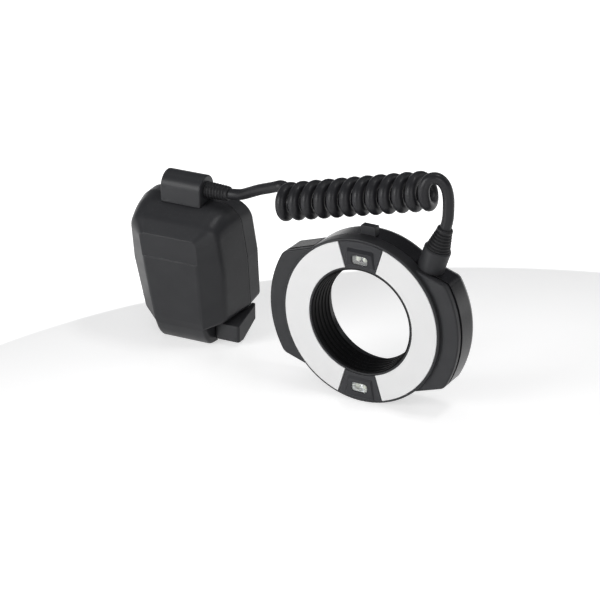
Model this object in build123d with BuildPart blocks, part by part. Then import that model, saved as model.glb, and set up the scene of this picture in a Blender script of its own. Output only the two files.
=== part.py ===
from build123d import *
from math import cos, degrees, pi, radians, sin, sqrt, tan
import os

# Macro ring flash: a control unit that stands on its mounting foot, a ring-shaped lamp head that
# stands on its rim, and the coiled cord between them. Millimetres, +Z up.
# The origin is the centre of the mounting foot's lower face. The ring faces -Y.

os.makedirs("parts", exist_ok=True)

# Fits
slip = 0.05  # radial clearance of pins and hubs that turn
seat_gap = 0.1  # clearance between pieces that are assembled against each other
move_gap = 0.3  # clearance around buttons, doors and tabs
overrun = 1.0  # how far a cut runs past the face that it opens

# Control unit casing
case_lean = 11  # degrees that the casing leans forward at its top
case_face_y = -24.1  # where the front panel's plane meets the ground
case_side_room = 10.0  # from the end of the cells and contacts to the outside of the seam
case_high = 88.6  # top of the casing, measured up the lean
case_deep = 45.8  # front panel to back panel
case_round = 14.0  # corner radius in front view, at the seam
case_wall = 1.6
toe_half = 17.4  # the battery bulge below the front panel
toe_deep = 13.0
toe_chamfer = 2.6
toe_top = 16.0
toe_drop = 6.0  # how far the toe is made below ground before it is cut level
badge_half = 16.6
badge_low = 61.3
badge_high = 75.0
badge_sink = 0.6

# Cable box and strain relief on top of the control unit
box_half = 13.7
box_radius = 9.0
box_y = -12.0
box_z = 100.0
box_wall = 1.8
box_edge = 1.0
box_skirt = 16.0  # how far the box reaches below its axis before the casing cuts it
wire_hole = 2.6
relief_radius = 4.7
relief_neck = 3.9
relief_flange = 6.0
relief_flange_thick = 2.0
relief_length = 15.6
relief_ribs = 5
relief_groove = 0.8

# Battery compartment
cell_radius = 7.1
cell_length = 50.0
cell_pitch = cell_radius * 2 + seat_gap * 2
cell_depth = 18.5  # the front row's axis behind the front panel
cell_height = 26.8  # the lower row's axis
cell_nub_radius = 2.6
cell_nub = 1.0
cradle_wall = 0.6
contact_thick = 0.4
cradle_half = cell_length / 2 + cell_nub / 2 + contact_thick + seat_gap
case_half = cradle_half + case_side_room  # half-width at the seam

# Battery door in the side wall
door_front = 11.2
door_back = 40.2
door_low = 19.5
door_high = 48.4
door_pin_radius = 0.45
door_pin_rise = 2.6
door_pin_reach = 1.2
door_heel = 1.4

# Electronics of the control unit
board_thick = 0.8
board_half = cradle_half - contact_thick * 2
board_high = 72.0
capacitor_radius = 9.4
capacitor_length = 35.0
capacitor_depth = 13.0
transformer_wide = 17.0
transformer_deep = 12.0
transformer_high = 13.0
transformer_x = 11.0

# Display
window_wide = 46.0
window_high = 25.0
window_height = 61.0
window_round = 2.0
window_thick = 0.8
window_ledge = 1.5

# Buttons of the back panel
key_proud = 0.9
key_flange = 0.7
key_flange_thick = 0.8
key_stem_radius = 1.2
key_stem = 0.9
function_wide = 8.6
function_high = 4.4
function_round = 1.2
function_space = 2.2  # between the flanges of neighbouring buttons
function_drop = 1.4  # from the display pane to the flanges of the row below it
round_key_radius = 3.4
round_key_space = 1.3
key_row_space = 3.2
function_pitch = function_wide + key_flange * 2 + function_space
function_height = window_height - window_high / 2 - function_drop - key_flange - function_high / 2
row_low = function_height - function_high / 2 - key_flange
lamp_key_height = row_low - key_row_space - key_flange - round_key_radius
test_key_height = lamp_key_height - (round_key_radius + key_flange) * 2 - round_key_space

# Dial, its middle button and the power switch
dial_radius = 9.4
dial_drop = 2.4  # from the row of buttons to the dial
dial_side_space = 7.0  # from the dial to the round buttons' flanges
dial_height = row_low - dial_drop - dial_radius
round_key_x = dial_radius + dial_side_space + key_flange + round_key_radius
dial_thick = 2.2
dial_hub_radius = 5.9
dial_bore = 4.6
dial_retainer = 7.2
dial_retainer_thick = 1.0
dial_notches = 24
dial_notch_radius = 0.5
set_radius = 4.2
set_flange_radius = 6.0
set_flange_thick = 0.5
set_proud = 2.7
switch_disc = 5.4
switch_space = 5.7  # from the dial to the switch's disc
switch_drop = 1.0
switch_x = -dial_radius - switch_space - switch_disc
switch_height = dial_height - switch_drop
switch_disc_thick = 1.3
switch_shaft = 2.5
switch_retainer = 4.0
switch_retainer_thick = 0.9
switch_nib_wide = 3.0
switch_nib_length = 8.0
switch_nib_high = 2.8

# Mounting shoe and its lock
foot_wide = 18.6
foot_long = 18.0
foot_thick = 2.0
foot_neck_wide = 12.4
foot_neck_high = 2.0
foot_edge = 1.0
foot_contact_radius = 1.1
foot_contact_high = 1.4
foot_contact_pitch = 5.0
foot_contact_row = 5.0
block_wide = 26.0
block_long = 19.0
block_low_high = 3.2
collar_radius = 9.0
collar_high = 5.0
block_top_wide = 29.0
block_top_long = 19.6
block_top_high = 14.0
lock_pin_radius = 1.15
lock_pin_y = -5.0
lock_pin_lift = 0.3
lock_pin_length = 8.0
lever_ring_outer = 11.8
lever_clear = 0.2  # above and below the lever's ring
grip_near = 18.1
grip_far = 35.0
grip_front = -14.0
grip_back = 9.0
grip_low = 3.0
grip_slope_rise = 8.5
grip_slope_run = 17.0
grip_top_front = 13.6
grip_top_back = 20.5
grip_edge = 1.6
grip_gap = 0.6
arm_half = 5.0

# Screws
screw_radius = 0.8
screw_head_radius = 1.6
screw_head = 1.2
screw_length = 16.0
case_screw_inset = 12.0  # from the seam's half-width to the two upper screws
case_screw_high = 77.0
case_screw_low_inset = 7.2  # and to the lower one
case_screw_low = 24.0
case_post_radius = 1.8
case_post_web = 1.2
case_post_length = 9.0

# Ring head, measured from the middle of its white front face
ring_x = 134.3
ring_y = -48.0
ring_yaw = -2.5
socket_radius = 33.5
socket_wall = 1.6
diffuser_step = 0.6  # from the socket's radius to the diffusers' inner edge
diffuser_band = 15.95
rim_wall = 1.5
diffuser_inner = socket_radius + diffuser_step
diffuser_outer = diffuser_inner + diffuser_band
band_middle = (diffuser_inner + diffuser_outer) / 2
rim_radius = diffuser_outer + slip + rim_wall
rim_lip = 0.4  # the rim stands this far behind the white face
wing_reach = 10.8  # from the rim to the side of a wing
wing_radius = rim_radius + wing_reach
wing_corner = 6.0
wing_near_share = 0.678  # of the rim's radius: where the wing's upper edge meets the rim
wing_shelf_share = 0.744
wing_shoulder = 10.2
wing_fall = 5.6  # how much lower the upper edge is at its corner
wing_near_x = rim_radius * wing_near_share
wing_top_near = rim_radius * wing_shelf_share
wing_far_x = wing_radius - wing_shoulder
wing_top_far = wing_top_near - wing_fall
wing_face = 3.0
cover_split = 8.6
cover_groove_deep = 0.9
cover_groove_wide = 2.4
ring_wall = 1.7
ring_deep = 25.8
ring_bevel_deep = 2.2
ring_bevel = 17.0  # degrees of the two bevels along the rear edge
ring_back_bevel = 42.0
adapter_land = 3.45  # between the bore and the socket's wall
aperture_radius = socket_radius - adapter_land
lamp_half_angle = 17.0  # degrees each side of vertical
lamp_gap_angle = 0.25
ledge_wide = 2.4
ledge_thick = 1.5
ledge_depth = 2.9
inner_rim_wall = 1.1

# Lamp panels and their windows
lamp_platform_half = 8.6
lamp_platform_taper = 1.9
lamp_platform_high = 9.6
lamp_platform_proud = 1.1
lamp_platform_edge = 1.0
lamp_window_wide = 10.4
lamp_window_high = 5.6
lamp_window_round = 2.0
lamp_window_thick = 1.2
lamp_cup_deep = 3.4
lamp_cup_wall = 0.7
led_radius = 1.5
led_high = 1.2
led_pitch = 4.6

# Flash tubes and reflectors
tube_radius = 2.0
tube_half_sweep = 68
reflector_half_wide = 4.9
reflector_deep = 7.2
reflector_wall = 0.6
reflector_half_sweep = 70

# Sleeve of the bore and the socket for the lens adapter
sleeve_steps = 5
sleeve_front = 0.9
sleeve_back = 17.45
sleeve_wall = 0.85
sleeve_ridge = 0.5
socket_front = sleeve_back + move_gap
adapter_stop = 1.2
adapter_lip = 0.4

# Release latch
latch_depth = 18.7
latch_thick = 1.5
latch_gap = 0.4
latch_travel = 2.0
latch_band = 5.5  # width of the slide outside its own travel
latch_outer = socket_radius + socket_wall + latch_gap + latch_travel + latch_band
claw_reach = 1.0
claw_half_wide = 3.4
claw_slot_half = claw_half_wide + latch_travel
claw_angle = 45  # degrees each side of straight down
claw_groove = 0.5  # depth of the groove in the socket's wall that the claws stand in
neck_half = 5.6
neck_room = 0.9  # between the slide's neck and the inside of the covers
neck_shelf_top = rim_radius - ring_wall - neck_room
neck_shelf_thick = 1.5
tab_wide = 9.6
tab_deep = 4.8
tab_front = 9.4
tab_proud = 5.4
tab_top = rim_radius + tab_proud
tab_ridges = 4
tab_ridge_deep = 0.35
spring_radius = 1.3
spring_wall = 0.4
spring_x = 12.0

# Circuit board and screws of the ring
ring_board_room = 1.5  # around the socket
ring_board_edge = 2.3  # inside the covers
ring_board_inner = socket_radius + socket_wall + ring_board_room
ring_board_outer = rim_radius - ring_wall - ring_board_edge
ring_board_thick = 1.2
ring_board_gap = 18  # degrees each side of the top that the board leaves open
ring_post_radius = 2.4
ring_post_inset = 6.0
ring_post_x = wing_radius - ring_post_inset
ring_post_z = 14.0
ring_screw_length = 15.0

# Cord boss on the ring, in the ring's own width and height
boss_x_share = 0.738  # of the rim's radius
boss_z_share = 0.688
boss_x = rim_radius * boss_x_share
boss_z = rim_radius * boss_z_share
boss_depth = 14.0
boss_tilt = 19  # degrees from upright, outwards
boss_radius = 8.1
boss_length = 16.0
boss_root = 8.0
boss_chamfer = 0.8
cone_radius = 6.9
cone_tip_radius = 5.0
cone_length = 11.5
cone_ribs = 6
cone_groove = 0.6
cone_neck = 4.5
cone_neck_length = 6.0
boss_neck = 5.0
boss_neck_reach = 2.0

# Cord
cord_radius = 3.4
coil_radius = 8.3  # to the middle of the cord
coil_turns = 11
coil_steps = 4  # stations of the curve in one turn
coil_start = (73.5, -29.0, 110.2)  # middle of the coil at its first top
coil_end = (165.3, -33.0, 133.6)  # middle of the coil at its last whole turn
coil_entry = 1  # first station on the coil
coil_leave = 3  # stations after the last whole turn
cord_straight = 7.0  # straight length of the coil piece at each end
lead_points = [(38.0, -12.0, 100.0), (46.5, -15.8, 105.4), (54.0, -18.6, 110.4), (61.0, -21.0, 114.6)]
tail_run = 6.0  # between the ring's strain relief and the lead's bend
tail_rise = 6.5
bend_share = 0.45  # part of the shorter run that a bend may use


def lean_point(x, depth, height):
    """Ground coordinates of a place given across, behind and up the leaning casing."""
    lean = radians(case_lean)
    y = case_face_y + depth * cos(lean) - height * sin(lean)
    return (x, y, depth * sin(lean) + height * cos(lean))


def save(piece, name):
    """Label a finished sub-part and write its file."""
    piece.part.label = name
    export_step(piece.part, f"parts/{name}.step")


lean_forward = (0, -cos(radians(case_lean)), -sin(radians(case_lean)))
CASE = Plane(origin=(0, case_face_y, 0), x_dir=(1, 0, 0), z_dir=lean_forward)
CASE_SIDE = Plane(
    origin=(0, case_face_y, 0),
    x_dir=(0, -lean_forward[1], -lean_forward[2]),
    z_dir=(1, 0, 0),
)

ring_right = (cos(radians(ring_yaw)), sin(radians(ring_yaw)), 0)
ring_forward = (sin(radians(ring_yaw)), -cos(radians(ring_yaw)), 0)
RING = Plane(origin=(ring_x, ring_y, rim_radius), x_dir=ring_right, z_dir=ring_forward)
RING_RADIAL = Plane(origin=(ring_x, ring_y, rim_radius), x_dir=ring_right, z_dir=(0, 0, -1))
RING_AXIS = Axis((ring_x, ring_y, rim_radius), ring_forward)

boss_base = RING.from_local_coords((boss_x, boss_z, -boss_depth))
boss_up = RING.from_local_coords(Vector(sin(radians(boss_tilt)), cos(radians(boss_tilt)), 0)) - RING.origin
boss_plane = Plane(origin=boss_base, x_dir=ring_forward, z_dir=boss_up)
boss_side = boss_up.cross(Vector(*ring_forward))
boss_axis = Axis(boss_base, boss_up)

# Casing sections, front to back. Shares of case_deep; of case_half at top, middle and bottom;
# of case_high at top, middle and bottom; of case_round at the top and bottom corners.
section_shares = {
    "panel": (0.0, 0.523, 0.508, 0.44, 0.866, 0.58, 0.13, 0.22, 0.2),
    "ridge": (0.2, 0.835, 0.876, 0.785, 0.957, 0.59, 0.157, 0.8, 0.35),
    "crown": (0.445, 0.903, 0.94, 0.865, 1.0, 0.585, 0.152, 0.95, 0.4),
    "seam": (0.69, 0.96, 1.0, 0.94, 0.998, 0.575, 0.143, 1.0, 0.45),
    "shoulder": (0.93, 0.985, 1.025, 0.962, 0.966, 0.56, 0.155, 0.95, 0.45),
    "back": (1.0, 0.945, 0.98, 0.915, 0.93, 0.555, 0.19, 0.85, 0.4),
}
front_sections = ("panel", "ridge", "crown", "seam")
back_sections = ("seam", "shoulder", "back")
all_sections = front_sections + back_sections[1:]
seam_depth = case_deep * section_shares["seam"][0]
inner_back = case_deep - case_wall


def case_section(name, inset):
    """One closed outline of the casing, drawn in on all sides by inset."""
    depth, top, middle, bottom, high, waist, low, round_top, round_low = section_shares[name]
    shift = {"panel": inset, "back": -inset}.get(name, 0)
    half_top = case_half * top - inset
    half_middle = case_half * middle - inset
    half_bottom = case_half * bottom - inset
    up = case_high * high - inset
    down = case_high * low + inset
    waist_height = case_high * waist
    with BuildSketch(CASE.offset(-case_deep * depth - shift)) as outline:
        with BuildLine():
            Polyline(
                (-half_top, up),
                (half_top, up),
                (half_middle, waist_height),
                (half_bottom, down),
                (-half_bottom, down),
                (-half_middle, waist_height),
                close=True,
            )
        make_face()
        rows = outline.vertices().group_by(Axis.Y)
        fillet(rows[-1], case_round * round_top - inset * round_top)
        fillet(outline.vertices().group_by(Axis.Y)[0], case_round * round_low - inset * round_low)
    return outline.sketch


def case_sketches(names, inset=0.0):
    """The casing's outlines through the named sections, ready to be lofted."""
    return [case_section(name, inset) for name in names]


def lean_rectangle(depth, left, right, low, high, corner=0.0):
    """A rectangle parallel to the casing's panels, at a depth behind the front panel."""
    with BuildSketch(CASE.offset(-depth)) as outline:
        with Locations(((left + right) / 2, (low + high) / 2)):
            if corner > 0:
                RectangleRounded(right - left, high - low, corner)
            else:
                Rectangle(right - left, high - low)
    return outline.sketch


def lean_circles(depth, places, radius, bore=0.0):
    """Circles parallel to the casing's panels, at places given across and up."""
    with BuildSketch(CASE.offset(-depth)) as outline:
        with Locations(*places):
            Circle(radius)
            if bore > 0:
                Circle(bore, mode=Mode.SUBTRACT)
    return outline.sketch


def post_outlines(depth):
    """The screw posts in front view, each with a web towards the side wall."""
    with BuildSketch(CASE.offset(-depth)) as outline:
        for across, up in case_screws:
            side = 1 if across > 0 else -1
            with Locations((across, up)):
                Circle(case_post_radius)
            with Locations((across + side * case_screw_inset / 2, up)):
                Rectangle(case_screw_inset, case_post_web)
        with Locations(*case_screws):
            Circle(screw_radius, mode=Mode.SUBTRACT)
    return outline.sketch


def toe_profile(inset=0.0):
    """Side view of the bulge below the front panel."""
    base = -toe_drop / 2 + inset
    knee = toe_top / 2
    with BuildSketch(CASE_SIDE) as outline:
        with BuildLine():
            Line((inset, toe_top), (inset, knee))
            bend = TangentArc((inset, knee), (toe_deep / 2, base), tangent=(0, -1))
            Polyline(bend @ 1, (toe_deep - inset, base), (toe_deep - inset, toe_top), (inset, toe_top))
        make_face()
    return outline.sketch


def wall_half(depth, height):
    """Half-width outside the side walls, below the waist."""
    share = depth / case_deep
    rows = [section_shares[name] for name in all_sections]
    for near, far in zip(rows, rows[1:]):
        if near[0] <= share <= far[0]:
            halves = []
            for row in (near, far):
                climb = (height / case_high - row[6]) / (row[5] - row[6])
                halves.append(case_half * (row[3] + (row[2] - row[3]) * climb))
            return halves[0] + (halves[1] - halves[0]) * (share - near[0]) / (far[0] - near[0])
    return case_half


def hinge_bar(radius, reach=0.0):
    """Outline and length of a round bar along the battery door's hinge."""
    height = door_low + door_pin_rise
    front = Vector(*lean_point(-wall_half(door_front, height) + case_wall / 2, door_front, height))
    back = Vector(*lean_point(-wall_half(door_back, height) + case_wall / 2, door_back, height))
    along = (back - front).normalized()
    with BuildSketch(Plane(origin=front - along * reach, z_dir=along)) as outline:
        Circle(radius)
    return outline.sketch, (back - front).length + reach * 2


def ring_arc_band(inner, outer, half_angle, middle_angle, depth):
    """A sector of a flat ring, centred on an angle from the ring's right."""
    with BuildSketch(RING.offset(-depth)) as outline:
        Circle(outer)
        Circle(inner, mode=Mode.SUBTRACT)
        reach = outer * 3
        turns = [radians(middle_angle + half_angle * side) for side in (-1, 0, 1)]
        with BuildLine():
            Polyline((0, 0), *[(reach * cos(turn), reach * sin(turn)) for turn in turns], close=True)
        make_face(mode=Mode.INTERSECT)
    return outline.sketch


def wing_outline(depth, inset=0.0):
    """Front view of the ring: the round rim joined with its two side wings."""
    slope = (wing_top_near - wing_top_far) / (wing_far_x - wing_near_x)
    outer_top = wing_top_far - (wing_radius - wing_far_x) * slope - inset
    inner_top = wing_top_near - inset
    radius = wing_radius - inset
    with BuildSketch(RING.offset(-depth)) as outline:
        Circle(radius)
        with BuildLine():
            Polyline(
                (wing_near_x, inner_top),
                (wing_radius, outer_top),
                (wing_radius, -outer_top),
                (wing_near_x, -inner_top),
                (-wing_near_x, -inner_top),
                (-wing_radius, -outer_top),
                (-wing_radius, outer_top),
                (-wing_near_x, inner_top),
                close=True,
            )
        make_face(mode=Mode.INTERSECT)
        tips = outline.vertices().filter_by(lambda tip: abs(tip.X) > wing_near_x + wing_corner)
        fillet(tips.filter_by(lambda tip: abs(tip.Y) > wing_corner), wing_corner - inset)
        Circle(rim_radius - inset)
    return outline.sketch


def ring_annulus(depth, outer, inner):
    """A flat ring around the bore's axis, at a depth behind the white face."""
    with BuildSketch(RING.offset(-depth)) as outline:
        Circle(outer)
        Circle(inner, mode=Mode.SUBTRACT)
    return outline.sketch


def ring_rectangle(depth, left, right, low, high, corner=0.0):
    """A rectangle parallel to the ring's face, in the ring's width and height."""
    with BuildSketch(RING.offset(-depth)) as outline:
        with Locations(((left + right) / 2, (low + high) / 2)):
            if corner > 0:
                RectangleRounded(right - left, high - low, corner)
            else:
                Rectangle(right - left, high - low)
    return outline.sketch


def ring_circles(depth, places, radius, bore=0.0):
    """Circles parallel to the ring's face, at places given across and up."""
    with BuildSketch(RING.offset(-depth)) as outline:
        with Locations(*places):
            Circle(radius)
            if bore > 0:
                Circle(bore, mode=Mode.SUBTRACT)
    return outline.sketch


# Places that several pieces of the control unit share
cradle_front = cell_depth - cell_radius - seat_gap - cradle_wall
cradle_back = cell_depth + cell_pitch + cell_radius + seat_gap + cradle_wall
cradle_low = cell_height - cell_radius - seat_gap - cradle_wall
cradle_high = cell_height + cell_pitch + cell_radius + seat_gap + cradle_wall
board_front = cradle_back + seat_gap
board_back = board_front + board_thick
case_screws = [
    (case_screw_inset - case_half, case_screw_high),
    (case_half - case_screw_inset, case_screw_high),
    (case_half - case_screw_low_inset, case_screw_low),
]
doorway_x = -cradle_half
wide = case_half * 4  # larger than the casing, for cuts that take everything

with BuildPart() as case_solid:
    loft(case_sketches(all_sections), ruled=True)

with BuildPart() as front_posts:
    loft(case_sketches(all_sections, case_wall / 2), ruled=True)
    extrude(post_outlines(seam_depth), amount=case_post_length, mode=Mode.INTERSECT)

with BuildPart() as back_posts:
    loft(case_sketches(all_sections, case_wall / 2), ruled=True)
    extrude(post_outlines(case_deep), amount=case_deep - seam_depth, mode=Mode.INTERSECT)

# Control unit: front casing, with the bulge for the battery below the panel
with BuildPart() as toe_solid:
    extrude(toe_profile(), amount=toe_half, both=True)
    fronts = toe_solid.faces().filter_by(lambda face: face.center().Y < case_face_y + toe_chamfer)
    corners = fronts.edges().filter_by(lambda edge: abs(abs(edge.center().X) - toe_half) < slip)
    chamfer(corners, toe_chamfer)

with BuildPart() as front_casing:
    loft(case_sketches(front_sections), ruled=True)
    add(toe_solid.part)
    loft(case_sketches(front_sections, case_wall), ruled=True, mode=Mode.SUBTRACT)
    extrude(toe_profile(case_wall), amount=toe_half - case_wall * 2, both=True, mode=Mode.SUBTRACT)
    add(front_posts.part)
    with BuildSketch(Plane.XY):
        Rectangle(wide, wide)
    extrude(amount=-wide, mode=Mode.SUBTRACT)
    badge = lean_rectangle(-overrun, -badge_half, badge_half, badge_low, badge_high)
    extrude(badge, amount=-overrun - badge_sink, mode=Mode.SUBTRACT)
    doorway = lean_rectangle(door_front, -wide, doorway_x, door_low, door_high)
    extrude(doorway, amount=door_front - door_back, mode=Mode.SUBTRACT)
    bar, bar_length = hinge_bar(door_pin_radius, door_pin_reach)
    extrude(bar, amount=bar_length, mode=Mode.SUBTRACT)
    with BuildSketch(Plane(origin=(0, box_y, box_z))):
        Circle(wire_hole)
    extrude(amount=-box_radius * 3, mode=Mode.SUBTRACT)
save(front_casing, "front_casing")

# Control unit: rear casing, with the display opening and the holes of its controls
function_places = [(function_pitch * (i - 1.5), function_height) for i in range(4)]
lamp_key = (round_key_x, lamp_key_height)
test_key = (round_key_x, test_key_height)
dial_place = (0, dial_height)
switch_place = (switch_x, switch_height)

with BuildPart() as rear_casing:
    loft(case_sketches(back_sections), ruled=True)
    back_rim = rear_casing.faces().sort_by(Axis(CASE.origin, CASE.z_dir))[0].edges()
    fillet(back_rim, case_wall / 2)
    loft(case_sketches(back_sections, case_wall), ruled=True, mode=Mode.SUBTRACT)
    add(back_posts.part)
    heads = lean_circles(case_deep + overrun, case_screws, screw_head_radius + seat_gap)
    extrude(heads, amount=overrun + screw_head, mode=Mode.SUBTRACT)
    shanks = lean_circles(case_deep + overrun, case_screws, screw_radius)
    extrude(shanks, amount=case_deep, mode=Mode.SUBTRACT)
    half_wide = window_wide / 2 + seat_gap
    half_high = window_high / 2 + seat_gap
    pane = lean_rectangle(
        case_deep + overrun,
        -half_wide,
        half_wide,
        window_height - half_high,
        window_height + half_high,
        window_round + seat_gap,
    )
    extrude(pane, amount=overrun + window_thick + seat_gap, mode=Mode.SUBTRACT)
    view = lean_rectangle(
        case_deep,
        -half_wide + window_ledge,
        half_wide - window_ledge,
        window_height - half_high + window_ledge,
        window_height + half_high - window_ledge,
        window_round,
    )
    extrude(view, amount=case_wall * 2, mode=Mode.SUBTRACT)
    for place in function_places:
        slot = lean_rectangle(
            case_deep + overrun,
            place[0] - function_wide / 2 - seat_gap * 2,
            place[0] + function_wide / 2 + seat_gap * 2,
            place[1] - function_high / 2 - seat_gap * 2,
            place[1] + function_high / 2 + seat_gap * 2,
            function_round + seat_gap * 2,
        )
        extrude(slot, amount=overrun + case_wall * 2, mode=Mode.SUBTRACT)
    round_holes = lean_circles(case_deep + overrun, [lamp_key, test_key], round_key_radius + seat_gap * 2)
    extrude(round_holes, amount=overrun + case_wall * 2, mode=Mode.SUBTRACT)
    dial_hole = lean_circles(case_deep + overrun, [dial_place], dial_hub_radius + slip)
    extrude(dial_hole, amount=overrun + case_wall * 2, mode=Mode.SUBTRACT)
    switch_hole = lean_circles(case_deep + overrun, [switch_place], switch_shaft + slip)
    extrude(switch_hole, amount=overrun + case_wall * 2, mode=Mode.SUBTRACT)
    doorway = lean_rectangle(seam_depth, -wide, doorway_x, door_low, door_high)
    extrude(doorway, amount=seam_depth - door_back, mode=Mode.SUBTRACT)
    bar, bar_length = hinge_bar(door_pin_radius, door_pin_reach)
    extrude(bar, amount=bar_length, mode=Mode.SUBTRACT)
    with BuildSketch(Plane(origin=(0, box_y, box_z))):
        Circle(wire_hole)
    extrude(amount=-box_radius * 3, mode=Mode.SUBTRACT)
save(rear_casing, "rear_casing")

# Battery door: a curved plate of the side wall, hinged along its foot
with BuildPart() as battery_door:
    loft(case_sketches(all_sections), ruled=True)
    loft(case_sketches(all_sections, case_wall), ruled=True, mode=Mode.SUBTRACT)
    plate = lean_rectangle(
        door_front + move_gap,
        -wide,
        doorway_x - move_gap,
        door_low + door_pin_rise,
        door_high - move_gap,
    )
    extrude(plate, amount=door_front - door_back + move_gap * 2, mode=Mode.INTERSECT)
    heel, heel_length = hinge_bar(door_heel, -move_gap)
    extrude(heel, amount=heel_length)
    bar, bar_length = hinge_bar(door_pin_radius + slip, door_pin_reach)
    extrude(bar, amount=bar_length, mode=Mode.SUBTRACT)
save(battery_door, "battery_door")

with BuildPart() as door_hinge_pin:
    bar, bar_length = hinge_bar(door_pin_radius, door_pin_reach - seat_gap)
    extrude(bar, amount=bar_length)
save(door_hinge_pin, "door_hinge_pin")

# Battery cradle, open towards the door, with its cells and contact plates
with BuildPart() as battery_cradle:
    loft(case_sketches(all_sections, case_wall + seat_gap), ruled=True)
    left = seat_gap - cradle_half
    outside = lean_rectangle(cradle_front, left, cradle_half + cradle_wall, cradle_low, cradle_high)
    extrude(outside, amount=cradle_front - cradle_back, mode=Mode.INTERSECT)
    inside = lean_rectangle(
        cradle_front + cradle_wall,
        -wide,
        cradle_half,
        cradle_low + cradle_wall,
        cradle_high - cradle_wall,
    )
    extrude(inside, amount=cradle_front - cradle_back + cradle_wall * 2, mode=Mode.SUBTRACT)
save(battery_cradle, "battery_cradle")

cell_columns = [cell_depth, cell_depth + cell_pitch]
cell_rows = [cell_height, cell_height + cell_pitch]
cell_places = [(depth, height) for depth in cell_columns for height in cell_rows]
with BuildPart() as battery_cells:
    for index, (depth, height) in enumerate(cell_places):
        nub_side = 1 if index % 2 else -1
        foot_x = -nub_side * (cell_length + cell_nub) / 2
        start = Vector(*lean_point(foot_x, depth, height))
        with BuildSketch(Plane(origin=start, z_dir=(nub_side, 0, 0))):
            Circle(cell_radius)
        extrude(amount=cell_length)
        nub_foot = start + Vector(nub_side * cell_length, 0, 0)
        with BuildSketch(Plane(origin=nub_foot, z_dir=(nub_side, 0, 0))):
            Circle(cell_nub_radius)
        extrude(amount=cell_nub)
save(battery_cells, "battery_cells")

with BuildPart() as cell_contacts:
    for height in cell_rows:
        plate = lean_rectangle(
            cell_depth - cell_radius / 2,
            cradle_half - contact_thick,
            cradle_half,
            height - cell_radius / 2,
            height + cell_radius / 2,
        )
        extrude(plate, amount=-cell_pitch - cell_radius)
save(cell_contacts, "cell_contacts")

# Electronics behind the panels
with BuildPart() as main_board:
    board = lean_rectangle(board_front, -board_half, board_half, cradle_low, board_high)
    extrude(board, amount=-board_thick)
save(main_board, "main_board")

with BuildPart() as flash_capacitor:
    capacitor_height = cradle_high + seat_gap + capacitor_radius
    seat = Vector(*lean_point(-capacitor_length / 2, capacitor_depth, capacitor_height))
    with BuildSketch(Plane(origin=seat, z_dir=(1, 0, 0))):
        Circle(capacitor_radius)
    extrude(amount=capacitor_length)
save(flash_capacitor, "flash_capacitor")

with BuildPart() as step_up_transformer:
    block = lean_rectangle(
        board_front - seat_gap,
        transformer_x - transformer_wide / 2,
        transformer_x + transformer_wide / 2,
        cradle_high + seat_gap,
        cradle_high + seat_gap + transformer_high,
    )
    extrude(block, amount=transformer_deep)
save(step_up_transformer, "step_up_transformer")

# Display, seen through a pane in the back panel
pane_back = case_deep - window_thick
with BuildPart() as display_window:
    pane = lean_rectangle(
        pane_back,
        -window_wide / 2,
        window_wide / 2,
        window_height - window_high / 2,
        window_height + window_high / 2,
        window_round,
    )
    extrude(pane, amount=-window_thick)
save(display_window, "display_window")

with BuildPart() as lcd_panel:
    glass = lean_rectangle(
        board_back + seat_gap,
        -window_wide / 2,
        window_wide / 2,
        window_height - window_high / 2,
        window_height + window_high / 2,
    )
    extrude(glass, amount=board_back + seat_gap * 2 - inner_back)
save(lcd_panel, "lcd_panel")

# Buttons of the back panel: cap, inner flange and stem
flange_front = inner_back - seat_gap - key_flange_thick
key_front = flange_front - key_stem
for index, place in enumerate(function_places):
    left = place[0] - function_wide / 2
    right = place[0] + function_wide / 2
    low = place[1] - function_high / 2
    high = place[1] + function_high / 2
    with BuildPart() as function_button:
        cap = lean_rectangle(flange_front, left, right, low, high, function_round)
        extrude(cap, amount=flange_front - case_deep - key_proud)
        cap_face = function_button.faces().sort_by(Axis(CASE.origin, CASE.z_dir))[0]
        fillet(cap_face.edges(), key_proud / 3)
        edge = lean_rectangle(
            flange_front,
            left - key_flange,
            right + key_flange,
            low - key_flange,
            high + key_flange,
            function_round,
        )
        extrude(edge, amount=-key_flange_thick)
        extrude(lean_circles(key_front, [place], key_stem_radius), amount=-key_stem)
    save(function_button, f"function_button_{index + 1}")

for name, place in {"lamp_button": lamp_key, "test_button": test_key}.items():
    with BuildPart() as round_button:
        cap = lean_circles(flange_front, [place], round_key_radius)
        extrude(cap, amount=flange_front - case_deep - key_proud)
        cap_face = round_button.faces().sort_by(Axis(CASE.origin, CASE.z_dir))[0]
        fillet(cap_face.edges(), key_proud / 3)
        edge = lean_circles(flange_front, [place], round_key_radius + key_flange)
        extrude(edge, amount=-key_flange_thick)
        extrude(lean_circles(key_front, [place], key_stem_radius), amount=-key_stem)
    save(round_button, name)

# Select dial with its middle button
dial_seat = case_deep + seat_gap * 2
notch_angles = [2 * pi * i / dial_notches for i in range(dial_notches)]
notch_places = [(dial_radius * cos(a), dial_height + dial_radius * sin(a)) for a in notch_angles]
with BuildPart() as select_dial:
    extrude(lean_circles(dial_seat, [dial_place], dial_radius, dial_bore), amount=-dial_thick)
    dial_face = select_dial.faces().sort_by(Axis(CASE.origin, CASE.z_dir))[0]
    fillet(dial_face.outer_wire().edges(), dial_thick / 4)
    notches = lean_circles(dial_seat, notch_places, dial_notch_radius)
    extrude(notches, amount=-dial_thick, mode=Mode.SUBTRACT)
    hub = lean_circles(dial_seat, [dial_place], dial_hub_radius, dial_bore)
    extrude(hub, amount=dial_seat - inner_back + seat_gap + dial_retainer_thick)
    retainer = lean_circles(inner_back - seat_gap, [dial_place], dial_retainer, dial_bore)
    extrude(retainer, amount=dial_retainer_thick)
save(select_dial, "select_dial")

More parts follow.
